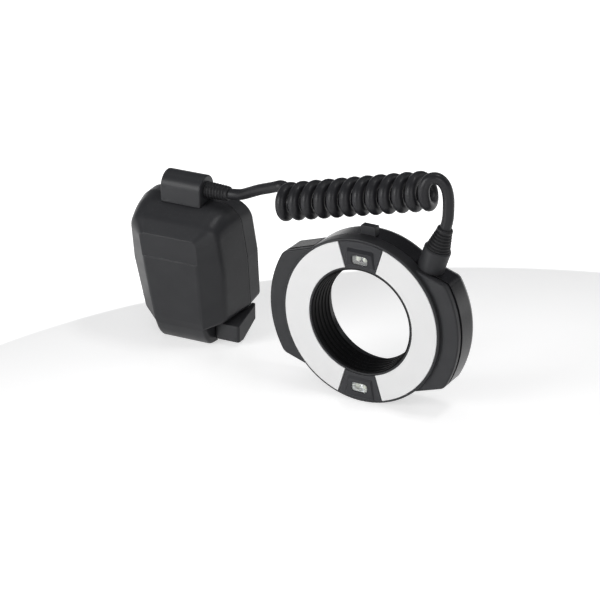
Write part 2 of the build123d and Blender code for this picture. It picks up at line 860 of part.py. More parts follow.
set_flange_front = inner_back - seat_gap * 2 - dial_retainer_thick - set_flange_thick
with BuildPart() as set_button:
    extrude(lean_circles(set_flange_front, [dial_place], set_flange_radius), amount=-set_flange_thick)
    cap = lean_circles(set_flange_front, [dial_place], set_radius)
    extrude(cap, amount=set_flange_front - case_deep - set_proud)
    cap_face = set_button.faces().sort_by(Axis(CASE.origin, CASE.z_dir))[0]
    fillet(cap_face.edges(), key_proud / 3)
save(set_button, "set_button")

with BuildPart() as power_switch:
    extrude(lean_circles(dial_seat, [switch_place], switch_disc), amount=-switch_disc_thick)
    shaft = lean_circles(dial_seat, [switch_place], switch_shaft)
    extrude(shaft, amount=dial_seat - inner_back + seat_gap + switch_retainer_thick)
    retainer = lean_circles(inner_back - seat_gap, [switch_place], switch_retainer)
    extrude(retainer, amount=switch_retainer_thick)
    nib = lean_rectangle(
        dial_seat,
        switch_x - switch_nib_wide / 2,
        switch_x + switch_nib_wide / 2,
        switch_height - switch_nib_length / 2,
        switch_height + switch_nib_length / 2,
        switch_nib_wide / 3,
    )
    extrude(nib, amount=-switch_nib_high)
save(power_switch, "power_switch")

# Cable box on top of the casing, with its strain relief
with BuildPart() as cable_box:
    with BuildSketch(Plane.YZ):
        with Locations((box_y, box_z)):
            Circle(box_radius)
        with Locations((box_y, box_z - box_skirt / 2)):
            Rectangle(box_radius * 2, box_skirt)
    extrude(amount=box_half, both=True)
    ends = cable_box.faces().filter_by(Axis.X).edges()
    fillet(ends, box_edge)
    with BuildSketch(Plane.YZ):
        with Locations((box_y, box_z)):
            Circle(box_radius - box_wall)
        with Locations((box_y, box_z - box_skirt / 2)):
            Rectangle((box_radius - box_wall) * 2, box_skirt)
    extrude(amount=box_half - box_wall, both=True, mode=Mode.SUBTRACT)
    with BuildSketch(Plane(origin=(box_half + overrun, box_y, box_z), z_dir=(-1, 0, 0))):
        Circle(relief_neck + seat_gap)
    extrude(amount=box_wall + overrun * 2, mode=Mode.SUBTRACT)
    loft(case_sketches(all_sections, -seat_gap), ruled=True, mode=Mode.SUBTRACT)
save(cable_box, "cable_box")

relief_start = box_half + seat_gap
relief_end = relief_start + relief_length
rib_pitch = relief_length / relief_ribs
relief_steps = [(box_half - box_wall - seat_gap - relief_flange_thick, 0)]
relief_steps.append((box_half - box_wall - seat_gap - relief_flange_thick, relief_flange))
relief_steps.append((box_half - box_wall - seat_gap, relief_flange))
relief_steps.append((box_half - box_wall - seat_gap, relief_neck))
relief_steps.append((relief_start, relief_neck))
for i in range(relief_ribs):
    rib = relief_start + rib_pitch * i
    relief_steps.append((rib, relief_radius))
    relief_steps.append((rib + rib_pitch * 2 / 3, relief_radius))
    relief_steps.append((rib + rib_pitch * 2 / 3, relief_radius - relief_groove))
    relief_steps.append((rib + rib_pitch, relief_radius - relief_groove))
relief_steps.append((relief_end, 0))
with BuildPart() as controller_strain_relief:
    with BuildSketch(Plane(origin=(0, box_y, box_z), x_dir=(1, 0, 0), z_dir=(0, -1, 0))):
        with BuildLine():
            Polyline(*relief_steps, close=True)
        make_face()
    revolve(axis=Axis((0, box_y, box_z), (1, 0, 0)))
save(controller_strain_relief, "controller_strain_relief")

# Mounting shoe: foot, contacts, block, lock lever and locking pin
contact_places = [
    (0, 0),
    (-foot_contact_pitch, 0),
    (foot_contact_pitch, 0),
    (-foot_contact_pitch / 2, foot_contact_row),
    (foot_contact_pitch / 2, foot_contact_row),
]
with BuildPart() as mounting_foot:
    with BuildSketch(Plane.XY):
        RectangleRounded(foot_wide, foot_long, foot_edge)
    extrude(amount=foot_thick)
    with BuildSketch(Plane.XY.offset(foot_thick)):
        Rectangle(foot_neck_wide, foot_long)
    extrude(amount=foot_neck_high)
    with BuildSketch(Plane.XY):
        with Locations(*contact_places):
            Circle(foot_contact_radius + slip)
    extrude(amount=foot_contact_high + seat_gap * 2, mode=Mode.SUBTRACT)
    with BuildSketch(Plane.XY):
        with Locations((0, lock_pin_y)):
            Circle(lock_pin_radius + slip)
    extrude(amount=foot_thick + foot_neck_high, mode=Mode.SUBTRACT)
save(mounting_foot, "mounting_foot")

with BuildPart() as foot_contacts:
    with BuildSketch(Plane.XY.offset(seat_gap)):
        with Locations(*contact_places):
            Circle(foot_contact_radius)
    extrude(amount=foot_contact_high)
save(foot_contacts, "foot_contacts")

block_start = foot_thick + foot_neck_high
collar_start = block_start + block_low_high
with BuildPart() as shoe_block:
    with BuildSketch(Plane.XY.offset(block_start)):
        RectangleRounded(block_wide, block_long, foot_edge)
    extrude(amount=block_low_high)
    with BuildSketch(Plane.XY.offset(collar_start)):
        Circle(collar_radius)
    extrude(amount=collar_high)
    with BuildSketch(Plane.XY.offset(collar_start + collar_high)):
        RectangleRounded(block_top_wide, block_top_long, foot_edge)
    extrude(amount=block_top_high)
    with BuildSketch(Plane.XY.offset(block_start)):
        with Locations((0, lock_pin_y)):
            Circle(lock_pin_radius + slip)
    extrude(amount=lock_pin_length, mode=Mode.SUBTRACT)
    loft(case_sketches(all_sections, -seat_gap), ruled=True, mode=Mode.SUBTRACT)
save(shoe_block, "shoe_block")

with BuildPart() as locking_pin:
    with BuildSketch(Plane.XY.offset(lock_pin_lift)):
        with Locations((0, lock_pin_y)):
            Circle(lock_pin_radius)
    extrude(amount=lock_pin_length)
    chamfer(locking_pin.edges().sort_by(Axis.Z)[0], lock_pin_radius / 4)
save(locking_pin, "locking_pin")

lever_start = collar_start + lever_clear
lever_high = collar_high - lever_clear * 2
with BuildPart() as lock_lever:
    with BuildSketch(Plane(origin=((grip_near + grip_far) / 2, 0, 0), x_dir=(0, 1, 0), z_dir=(1, 0, 0))):
        with BuildLine():
            Polyline(
                (grip_front, grip_low),
                (grip_back - grip_slope_run, grip_low),
                (grip_back, grip_low + grip_slope_rise),
                (grip_back, grip_top_back),
                (grip_front, grip_top_front),
                close=True,
            )
        make_face()
    extrude(amount=(grip_far - grip_near) / 2, both=True)
    fillet(lock_lever.edges().filter_by(Axis.Z), grip_edge)
    with BuildSketch(Plane.XY.offset(lever_start)):
        Circle(lever_ring_outer)
        with Locations((grip_near / 2 + grip_edge, 0)):
            Rectangle(grip_near, arm_half * 2)
    extrude(amount=lever_high)
    with BuildSketch(Plane.XY.offset(lever_start)):
        Circle(collar_radius + slip)
    extrude(amount=lever_high, mode=Mode.SUBTRACT)
    loft(case_sketches(all_sections, -grip_gap), ruled=True, mode=Mode.SUBTRACT)
save(lock_lever, "lock_lever")

with BuildPart() as casing_screws:
    heads = lean_circles(case_deep - seat_gap, case_screws, screw_head_radius)
    extrude(heads, amount=screw_head - seat_gap * 2)
    shanks = lean_circles(case_deep - screw_head, case_screws, screw_radius - slip)
    extrude(shanks, amount=screw_length)
    extrude(shanks, amount=-slip * 4)
save(casing_screws, "casing_screws")

# Ring: front cover with rim, ledges for the lamps and two hollow wings
inner_rim = diffuser_inner - slip
ledge_back = ledge_depth + ledge_thick
post_places = [(x, z) for x in (-ring_post_x, ring_post_x) for z in (-ring_post_z, ring_post_z)]
lamp_places = {"top": (0, band_middle), "bottom": (0, -band_middle)}

with BuildPart() as ring_front_cover:
    extrude(wing_outline(wing_face), amount=wing_face + cover_groove_wide - cover_split)
    wing_front = ring_front_cover.faces().sort_by(RING_AXIS)[-1]
    fillet(wing_front.edges(), cover_groove_deep)
    groove_start = cover_split - cover_groove_wide
    extrude(wing_outline(groove_start, cover_groove_deep), amount=-cover_groove_wide)
    hollow = wing_outline(wing_face + ring_wall, ring_wall + cover_groove_deep)
    extrude(hollow, amount=wing_face + ring_wall - cover_split, mode=Mode.SUBTRACT)
    posts = ring_circles(wing_face + ring_wall, post_places, ring_post_radius)
    extrude(posts, amount=wing_face + ring_wall - cover_split)
    extrude(ring_annulus(rim_lip, rim_radius, rim_radius - rim_wall), amount=rim_lip - cover_split)
    rim_front = ring_front_cover.faces().sort_by(RING_AXIS)[-1]
    fillet(rim_front.outer_wire().edges(), rim_wall / 2)
    extrude(ring_circles(0, [(0, 0)], rim_radius - rim_wall), amount=-cover_split, mode=Mode.SUBTRACT)
    rim_inner = rim_radius - rim_wall
    extrude(ring_annulus(ledge_depth, rim_inner, rim_inner - ledge_wide), amount=-ledge_thick)
    extrude(ring_annulus(rim_lip, inner_rim, inner_rim - inner_rim_wall), amount=rim_lip - cover_split)
    extrude(ring_annulus(ledge_depth, inner_rim + ledge_wide, inner_rim), amount=-ledge_thick)
    for middle in (pi / 2, -pi / 2):
        floor = ring_arc_band(inner_rim, rim_inner, lamp_half_angle, degrees(middle), ledge_depth)
        extrude(floor, amount=-ledge_thick)
    for across, up in lamp_places.values():
        opening = ring_rectangle(
            ledge_depth,
            -lamp_window_wide / 2 - lamp_cup_wall - seat_gap,
            lamp_window_wide / 2 + lamp_cup_wall + seat_gap,
            up - lamp_window_high / 2 - lamp_cup_wall - seat_gap,
            up + lamp_window_high / 2 + lamp_cup_wall + seat_gap,
        )
        extrude(opening, amount=-ledge_thick, mode=Mode.SUBTRACT)
    shanks = ring_circles(cover_split, post_places, screw_radius)
    extrude(shanks, amount=cover_split - ledge_back, mode=Mode.SUBTRACT)
save(ring_front_cover, "ring_front_cover")

# Ring: rear cover with the lens socket and the openings of the latch
hub_outer = socket_radius + socket_wall
hub_step = socket_front - adapter_stop
with BuildPart() as ring_rear_cover:
    extrude(wing_outline(cover_split), amount=cover_split - ring_deep + ring_bevel_deep * 2)
    bevel_start = ring_deep - ring_bevel_deep * 2
    extrude(wing_outline(bevel_start), amount=-ring_bevel_deep, taper=ring_bevel)
    bevel_in = ring_bevel_deep * tan(radians(ring_bevel))
    back_edge = wing_outline(ring_deep - ring_bevel_deep, bevel_in)
    extrude(back_edge, amount=-ring_bevel_deep, taper=ring_back_bevel)
    hollow = wing_outline(cover_split, ring_wall)
    extrude(hollow, amount=cover_split - bevel_start, mode=Mode.SUBTRACT)
    narrow = wing_outline(cover_split, ring_wall + bevel_in * 2)
    extrude(narrow, amount=cover_split + ring_wall - ring_deep, mode=Mode.SUBTRACT)
    post_depth = cover_split - ring_deep + ring_wall
    extrude(ring_circles(cover_split, post_places, ring_post_radius), amount=post_depth)
    extrude(ring_annulus(hub_step, hub_outer, socket_radius), amount=hub_step - ring_deep)
    extrude(ring_circles(socket_front, [(0, 0)], socket_radius), amount=-ring_deep, mode=Mode.SUBTRACT)
    lip = ring_annulus(hub_step, socket_radius, socket_radius - adapter_lip)
    extrude(lip, amount=-adapter_stop)
    extrude(ring_circles(cover_split, post_places, screw_radius), amount=-ring_deep, mode=Mode.SUBTRACT)
    heads = ring_circles(ring_deep + overrun, post_places, screw_head_radius + seat_gap)
    extrude(heads, amount=overrun + screw_head, mode=Mode.SUBTRACT)
    tab_slot = ring_rectangle(
        tab_front - move_gap,
        -tab_wide / 2 - move_gap,
        tab_wide / 2 + move_gap,
        rim_radius - ring_wall * 3,
        rim_radius + overrun,
    )
    extrude(tab_slot, amount=-tab_deep - move_gap * 2, mode=Mode.SUBTRACT)
    for angle in (-claw_angle, claw_angle):
        with BuildSketch(RING.offset(-latch_depth + move_gap)):
            with Locations(Rotation(0, 0, angle)):
                with Locations((0, -socket_radius)):
                    Rectangle(claw_slot_half * 2, socket_wall * 4)
        extrude(amount=-latch_thick - move_gap * 2, mode=Mode.SUBTRACT)
    groove = ring_annulus(latch_depth - move_gap, socket_radius + claw_groove, aperture_radius)
    extrude(groove, amount=-latch_thick - move_gap * 2, mode=Mode.SUBTRACT)
    with BuildSketch(boss_plane):
        Circle(boss_neck + seat_gap)
    extrude(amount=boss_root, both=True, mode=Mode.SUBTRACT)
save(ring_rear_cover, "ring_rear_cover")

# White diffusers at the sides, lamp panels with windows between them
flash_sweep = 90 - lamp_half_angle - lamp_gap_angle
diffuser_thick = ledge_depth - seat_gap
for name, middle in {"right": 0, "left": 180}.items():
    with BuildPart() as diffuser:
        band = ring_arc_band(diffuser_inner, diffuser_outer, flash_sweep, middle, 0)
        extrude(band, amount=-diffuser_thick)
    save(diffuser, f"diffuser_{name}")

    with BuildPart() as flash_reflector:
        outer_edge = band_middle + reflector_half_wide
        inner_edge = band_middle - reflector_half_wide
        trough = ring_arc_band(inner_edge, outer_edge, reflector_half_sweep, middle, ledge_back + seat_gap)
        extrude(trough, amount=-reflector_deep)
        inner_sweep = reflector_half_sweep - degrees(reflector_wall / band_middle)
        light = ring_arc_band(
            inner_edge + reflector_wall,
            outer_edge - reflector_wall,
            inner_sweep,
            middle,
            ledge_back + seat_gap,
        )
        extrude(light, amount=reflector_wall - reflector_deep, mode=Mode.SUBTRACT)
    save(flash_reflector, f"flash_reflector_{name}")

    tube_depth = ledge_back + seat_gap + reflector_deep - reflector_wall - seat_gap - tube_radius
    with BuildPart() as flash_tube:
        with BuildLine(RING.offset(-tube_depth)) as tube_line:
            CenterArc((0, 0), band_middle, middle - tube_half_sweep, tube_half_sweep * 2)
        with BuildSketch(Plane(origin=tube_line.line @ 0, z_dir=tube_line.line % 0)):
            Circle(tube_radius)
        sweep(path=tube_line.line)
    save(flash_tube, f"flash_tube_{name}")

window_half = lamp_window_wide / 2
cup_front = ledge_depth
for name, place in lamp_places.items():
    up = place[1]
    low = up - lamp_window_high / 2
    high = up + lamp_window_high / 2
    side = 1 if up > 0 else -1
    with BuildPart() as lamp_panel:
        band = ring_arc_band(diffuser_inner, diffuser_outer, lamp_half_angle, side * 90, 0)
        extrude(band, amount=-diffuser_thick)
        with BuildSketch(RING):
            with BuildLine():
                Polyline(
                    (-lamp_platform_half, up + side * lamp_platform_high / 2),
                    (lamp_platform_half, up + side * lamp_platform_high / 2),
                    (lamp_platform_half - lamp_platform_taper, up - side * lamp_platform_high / 2),
                    (lamp_platform_taper - lamp_platform_half, up - side * lamp_platform_high / 2),
                    close=True,
                )
            make_face()
        extrude(amount=lamp_platform_proud)
        chamfer(lamp_panel.faces().sort_by(RING_AXIS)[-1].edges(), lamp_platform_edge * 2 / 3)
        opening = ring_rectangle(
            -lamp_platform_proud,
            -window_half - seat_gap,
            window_half + seat_gap,
            low - seat_gap,
            high + seat_gap,
            lamp_window_round,
        )
        extrude(opening, amount=-lamp_platform_proud - diffuser_thick, mode=Mode.SUBTRACT)
    save(lamp_panel, f"lamp_panel_{name}")

    with BuildPart() as lamp_window:
        window_face = -lamp_platform_proud / 2
        pane = ring_rectangle(window_face, -window_half, window_half, low, high, lamp_window_round)
        extrude(pane, amount=-lamp_window_thick)
    save(lamp_window, f"lamp_window_{name}")

    with BuildPart() as lamp_reflector:
        cup = ring_rectangle(
            cup_front,
            -window_half - lamp_cup_wall,
            window_half + lamp_cup_wall,
            low - lamp_cup_wall,
            high + lamp_cup_wall,
        )
        extrude(cup, amount=-lamp_cup_deep)
        light = ring_rectangle(cup_front, -window_half, window_half, low, high)
        extrude(light, amount=lamp_cup_wall - lamp_cup_deep, mode=Mode.SUBTRACT)
    save(lamp_reflector, f"lamp_reflector_{name}")

cup_floor = cup_front + lamp_cup_deep - lamp_cup_wall
led_places = [(x * led_pitch / 2, up) for x in (-1, 1) for across, up in lamp_places.values()]
with BuildPart() as lamp_leds:
    extrude(ring_circles(cup_floor - slip, led_places, led_radius), amount=led_high)
save(lamp_leds, "lamp_leds")

# Circuit board behind the reflectors, open at the top for the latch
reflector_back = ledge_back + seat_gap + reflector_deep
with BuildPart() as ring_board:
    plate = ring_annulus(reflector_back + seat_gap, ring_board_outer, ring_board_inner)
    extrude(plate, amount=-ring_board_thick)
    opening = ring_arc_band(slip, wing_radius, ring_board_gap, 90, reflector_back)
    extrude(opening, amount=-ring_board_thick * 2, mode=Mode.SUBTRACT)
save(ring_board, "ring_board")

# Light-absorbing sleeve of the bore, stepped inwards to the rear
sleeve_outer = inner_rim - inner_rim_wall - seat_gap
step_long = (sleeve_back - sleeve_front) / sleeve_steps
step_in = (sleeve_outer - sleeve_wall - aperture_radius) / sleeve_steps
sleeve_points = [(sleeve_outer, sleeve_front)]
for i in range(sleeve_steps):
    step_start = sleeve_front + step_long * i
    step_radius = sleeve_outer - sleeve_wall - step_in * i
    sleeve_points.append((step_radius, step_start))
    sleeve_points.append((step_radius, step_start + step_long - sleeve_ridge))
    sleeve_points.append((step_radius - step_in, step_start + step_long - sleeve_ridge))
sleeve_points.append((aperture_radius, sleeve_back))
sleeve_points.append((sleeve_outer, sleeve_back))
with BuildPart() as bore_sleeve:
    with BuildSketch(RING_RADIAL):
        with BuildLine():
            Polyline(*[(radius, -depth) for radius, depth in sleeve_points], close=True)
        make_face()
    revolve(axis=RING_AXIS)
save(bore_sleeve, "bore_sleeve")

# Release latch: a sprung slide around the socket with two claws, pushed down by its tab
with BuildPart() as latch_slider:
    extrude(ring_circles(latch_depth, [(0, 0)], latch_outer), amount=-latch_thick)
    with BuildSketch(RING.offset(-latch_depth)):
        with Locations((0, (latch_outer + neck_shelf_top) / 2 - latch_gap)):
            Rectangle(neck_half * 2, neck_shelf_top - latch_outer + latch_gap * 2)
    extrude(amount=-latch_thick)
    with BuildSketch(RING.offset(-latch_depth)):
        Circle(hub_outer + latch_gap)
        with Locations((0, latch_travel)):
            Circle(hub_outer + latch_gap)
        with Locations((0, latch_travel / 2)):
            Rectangle((hub_outer + latch_gap) * 2, latch_travel)
    extrude(amount=-latch_thick, mode=Mode.SUBTRACT)
    for angle in (-claw_angle, claw_angle):
        claw_low = latch_outer - ring_wall
        claw_top = socket_radius - claw_reach
        with BuildSketch(RING.offset(-latch_depth)):
            with Locations(Rotation(0, 0, angle)):
                with Locations((0, -(claw_low + claw_top) / 2)):
                    Rectangle(claw_half_wide * 2, claw_low - claw_top)
        extrude(amount=-latch_thick)
    shelf_low = neck_shelf_top - neck_shelf_thick
    shelf = ring_rectangle(tab_front, -neck_half, neck_half, shelf_low, neck_shelf_top)
    extrude(shelf, amount=tab_front - latch_depth - latch_thick)
save(latch_slider, "latch_slider")

with BuildPart() as release_tab:
    tab = ring_rectangle(tab_front, -tab_wide / 2, tab_wide / 2, neck_shelf_top, tab_top)
    extrude(tab, amount=-tab_deep)
    upper = release_tab.faces().sort_by(Axis.Z)[-1]
    fillet(upper.edges(), tab_ridge_deep * 2)
    ridge_pitch = tab_deep / tab_ridges
    for i in range(tab_ridges - 1):
        line_depth = tab_front + ridge_pitch * (i + 1) - tab_ridge_deep / 2
        groove = ring_rectangle(line_depth, -tab_wide, tab_wide, tab_top - tab_ridge_deep, tab_top)
        extrude(groove, amount=-tab_ridge_deep, mode=Mode.SUBTRACT)
save(release_tab, "release_tab")

spring_top = -sqrt(latch_outer**2 - (spring_x - spring_radius) ** 2) - seat_gap
spring_foot = -sqrt((rim_radius - ring_wall) ** 2 - (spring_x + spring_radius) ** 2) + seat_gap
with BuildPart() as latch_springs:
    middle_depth = latch_depth + latch_thick / 2
    for side in (-1, 1):
        foot = RING.from_local_coords((side * spring_x, spring_foot, -middle_depth))
        with BuildSketch(Plane(origin=foot, x_dir=ring_right, z_dir=(0, 0, 1))):
            Circle(spring_radius)
            Circle(spring_radius - spring_wall, mode=Mode.SUBTRACT)
        extrude(amount=spring_top - spring_foot)
save(latch_springs, "latch_springs")

with BuildPart() as ring_screws:
    heads = ring_circles(ring_deep - seat_gap, post_places, screw_head_radius)
    extrude(heads, amount=screw_head - seat_gap * 2)
    shanks = ring_circles(ring_deep - screw_head, post_places, screw_radius - slip)
    extrude(shanks, amount=ring_screw_length + cover_split / 2)
    extrude(shanks, amount=-slip * 4)
save(ring_screws, "ring_screws")

# Cord collar on the right wing, with its strain relief
with BuildPart() as cord_collar:
    with BuildSketch(boss_plane.offset(-boss_root)):
        Circle(boss_radius)
    extrude(amount=boss_root + boss_length)
    collar_end = cord_collar.faces().sort_by(boss_axis)[-1]
    chamfer(collar_end.edges(), boss_chamfer)
    extrude(wing_outline(wing_face, -seat_gap), amount=wing_face - ring_deep, mode=Mode.SUBTRACT)
    with BuildSketch(boss_plane.offset(-boss_neck_reach)):
        Circle(boss_neck)
    extrude(amount=boss_neck_reach + boss_root)
    with BuildSketch(boss_plane.offset(boss_length)):
        Circle(cone_neck + slip)
    extrude(amount=-cone_neck_length - seat_gap, mode=Mode.SUBTRACT)
save(cord_collar, "cord_collar")

cone_start = boss_length + seat_gap
cone_pitch = cone_length / cone_ribs
cone_steps = [(0, boss_length - cone_neck_length), (cone_neck, boss_length - cone_neck_length)]
cone_steps.append((cone_neck, cone_start))
for i in range(cone_ribs):
    rib_radius = cone_radius + (cone_tip_radius - cone_radius) * i / (cone_ribs - 1)
    rib = cone_start + cone_pitch * i
    cone_steps.append((rib_radius, rib))
    cone_steps.append((rib_radius, rib + cone_pitch * 2 / 3))
    cone_steps.append((rib_radius - cone_groove, rib + cone_pitch * 2 / 3))
    cone_steps.append((rib_radius - cone_groove, rib + cone_pitch))
cone_steps.append((0, cone_start + cone_length))
with BuildPart() as ring_strain_relief:
    with BuildSketch(Plane(origin=boss_base, x_dir=boss_side, z_dir=boss_plane.x_dir)):
        with BuildLine():
            Polyline(*cone_steps, close=True)
        make_face()
    revolve(axis=boss_axis)
save(ring_strain_relief, "ring_strain_relief")

# Cord: a lead from the control unit, the coil and a lead into the ring's collar
def biarc(start, start_dir, end, end_dir):
    """Two arcs that leave one point and reach another in given directions."""
    gap = end - start
    along = gap.dot(start_dir + end_dir)
    bend = (1 - start_dir.dot(end_dir)) * 2
    reach = (sqrt(along**2 + bend * gap.dot(gap)) - along) / bend
    middle = (start + end + (start_dir - end_dir) * reach) / 2
    middle_dir = (middle - start - start_dir * reach).normalized()
    first = TangentArc(start, middle, tangent=start_dir)
    second = TangentArc(middle, end, tangent=middle_dir)
    return [first, second]


def bend_radii(points):
    """The bend radius at each inner point of a run of straight lines."""
    radii = []
    for before, corner, after in zip(points, points[1:], points[2:]):
        shorter = min((corner - before).length, (after - corner).length)
        turn = (corner - before).get_angle(after - corner)
        radii.append(bend_share * shorter / tan(radians(turn / 2)))
    return radii


coil_first = Vector(*coil_start)
coil_run = Vector(*coil_end) - coil_first
coil_dir = coil_run.normalized()
coil_pitch = coil_run.length / coil_turns
coil_up = (Vector(0, 0, 1) - coil_dir * coil_dir.Z).normalized()
coil_front = coil_dir.cross(coil_up)


def coil_point(turns):
    """Middle of the cord after a number of turns from the first top."""
    angle = -2 * pi * turns
    across = coil_up * cos(angle) + coil_front * sin(angle)
    return coil_first + coil_dir * (coil_pitch * turns) + across * coil_radius


def coil_heading(turns):
    """Direction of the cord after a number of turns from the first top."""
    angle = -2 * pi * turns
    across = coil_front * cos(angle) - coil_up * sin(angle)
    return (coil_dir * coil_pitch - across * (coil_radius * 2 * pi)).normalized()


lead_path = [Vector(relief_end, box_y, box_z)] + [Vector(*point) for point in lead_points]
lead_heading = (lead_path[-1] - lead_path[-2]).normalized()
cone_tip = boss_base + boss_up * (cone_start + cone_length)
tail_knee = cone_tip + boss_up * tail_run
tail_end = tail_knee + Vector(0, 0, tail_rise)
coil_exit = tail_end + Vector(0, 0, cord_straight)
down = Vector(0, 0, -1)

stations = [(lead_path[-1] + lead_heading * cord_straight, lead_heading)]
for i in range(coil_entry, coil_turns * coil_steps + coil_leave + 1):
    stations.append((coil_point(i / coil_steps), coil_heading(i / coil_steps)))
stations.append((coil_exit, down))

with BuildPart() as coiled_cord:
    with BuildLine() as coil_line:
        Line(lead_path[-1], stations[0][0])
        arcs = []
        for start, end in zip(stations, stations[1:]):
            arcs += biarc(*start, *end)
        Line(coil_exit, tail_end)
    with BuildSketch(Plane(origin=lead_path[-1], z_dir=lead_heading)):
        Circle(cord_radius)
    sweep(path=coil_line.wires()[0])
save(coiled_cord, "coiled_cord")

with BuildPart() as controller_lead:
    with BuildLine() as lead_line:
        FilletPolyline(*lead_path, radius=bend_radii(lead_path))
    with BuildSketch(Plane(origin=lead_path[0], z_dir=(1, 0, 0))):
        Circle(cord_radius)
    sweep(path=lead_line.wires()[0])
save(controller_lead, "controller_lead")

tail_path = [tail_end, tail_knee, cone_tip]
with BuildPart() as ring_lead:
    with BuildLine() as tail_line:
        FilletPolyline(*tail_path, radius=bend_radii(tail_path))
    with BuildSketch(Plane(origin=tail_end, z_dir=down)):
        Circle(cord_radius)
    sweep(path=tail_line.wires()[0])
save(ring_lead, "ring_lead")

coil_wire = coil_line.wires()[0]
sample_count = coil_turns * coil_steps**2
samples = [coil_wire @ (i / sample_count) for i in range(sample_count + 1)]
skip = coil_steps**2 // 2
apart = [(a - b).length for i, a in enumerate(samples) for b in samples[i + skip :]]
area = pi * cord_radius**2
print("bend radii", [round(r, 1) for r in bend_radii(lead_path) + bend_radii(tail_path)])
self_gap = min(apart) - cord_radius * 2
print("coil radii", round(min(arc.radius for arc in arcs), 2), "self-gap", round(self_gap, 2))
for piece, line in ((controller_lead, lead_line), (coiled_cord, coil_line), (ring_lead, tail_line)):
    length = line.wires()[0].length
    print("cord length", round(length, 1), "volume share", round(piece.part.volume / (area * length), 4))
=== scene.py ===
import bpy
import bmesh
import math
from math import cos, pi, radians, sin, tau
from mathutils import Matrix, Vector


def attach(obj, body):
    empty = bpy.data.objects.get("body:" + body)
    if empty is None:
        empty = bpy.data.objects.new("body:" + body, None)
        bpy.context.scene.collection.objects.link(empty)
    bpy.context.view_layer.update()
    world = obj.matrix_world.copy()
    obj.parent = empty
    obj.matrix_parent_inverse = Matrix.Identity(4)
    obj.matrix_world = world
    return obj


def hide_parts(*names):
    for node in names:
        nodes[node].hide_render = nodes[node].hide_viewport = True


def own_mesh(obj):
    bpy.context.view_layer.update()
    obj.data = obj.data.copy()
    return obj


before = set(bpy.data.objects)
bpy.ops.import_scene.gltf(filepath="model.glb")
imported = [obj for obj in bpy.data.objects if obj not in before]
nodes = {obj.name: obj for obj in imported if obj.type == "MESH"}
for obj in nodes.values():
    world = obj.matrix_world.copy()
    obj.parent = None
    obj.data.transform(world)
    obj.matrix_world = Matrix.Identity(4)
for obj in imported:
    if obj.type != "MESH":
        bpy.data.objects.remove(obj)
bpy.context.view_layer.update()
MM = 0.001


# Camera
def place_camera():
    """The photograph's viewpoint: about 25 degrees above the floor, 26 degrees to the right."""
    right = Vector((0.88912, 0.45762, -0.00684))
    up = Vector((-0.18228, 0.36780, 0.91186))
    look = Vector((-0.41980, 0.80951, -0.41044))
    data = bpy.data.cameras.new("photo_camera")
    data.sensor_width = 36.0
    data.lens = 172.68
    data.clip_end = 50.0
    camera = bpy.data.objects.new("photo_camera", data)
    turn = Matrix((right, up, -look)).transposed().to_4x4()
    camera.matrix_world = Matrix.Translation((0.80455, -1.41615, 0.75137)) @ turn
    bpy.context.collection.objects.link(camera)
    bpy.context.scene.camera = camera


place_camera()


# Shader groups
def new_group(name, inputs, outputs):
    group = bpy.data.node_groups.new(name, "ShaderNodeTree")
    for label, kind, value in inputs:
        socket = group.interface.new_socket(name=label, in_out="INPUT", socket_type=kind)
        if value is not None:
            socket.default_value = value
    for label, kind in outputs:
        group.interface.new_socket(name=label, in_out="OUTPUT", socket_type=kind)
    return group, group.nodes.new("NodeGroupInput"), group.nodes.new("NodeGroupOutput")


def noise(tree, vector, scale, detail, roughness=0.55):
    node = tree.nodes.new("ShaderNodeTexNoise")
    node.inputs["Detail"].default_value = detail
    node.inputs["Roughness"].default_value = roughness
    tree.links.new(vector, node.inputs["Vector"])
    if isinstance(scale, (int, float)):
        node.inputs["Scale"].default_value = scale
    else:
        tree.links.new(scale, node.inputs["Scale"])
    return node


def ranged(tree, value, low, high, to_low, to_high):
    node = tree.nodes.new("ShaderNodeMapRange")
    tree.links.new(value, node.inputs["Value"])
    limits = {"From Min": low, "From Max": high, "To Min": to_low, "To Max": to_high}
    for label, number in limits.items():
        if isinstance(number, (int, float)):
            node.inputs[label].default_value = number
        else:
            tree.links.new(number, node.inputs[label])
    return node.outputs["Result"]


def moulded_grain_group():
    """Fine spark-eroded grain of moulded plastic: a height and a slow mottling."""
    group, entry, leave = new_group(
        "moulded grain",
        [
            ("Vector", "NodeSocketVector", None),
            ("Grain Scale", "NodeSocketFloat", 2600.0),
            ("Mottle Scale", "NodeSocketFloat", 60.0),
        ],
        [("Height", "NodeSocketFloat"), ("Mottle", "NodeSocketFloat")],
    )
    fine = noise(group, entry.outputs["Vector"], entry.outputs["Grain Scale"], 3.0, 0.6)
    slow = noise(group, entry.outputs["Vector"], entry.outputs["Mottle Scale"], 4.0)
    group.links.new(fine.outputs["Fac"], leave.inputs["Height"])
    group.links.new(ranged(group, slow.outputs["Fac"], 0.3, 0.7, 0.0, 1.0), leave.inputs["Mottle"])
    return group


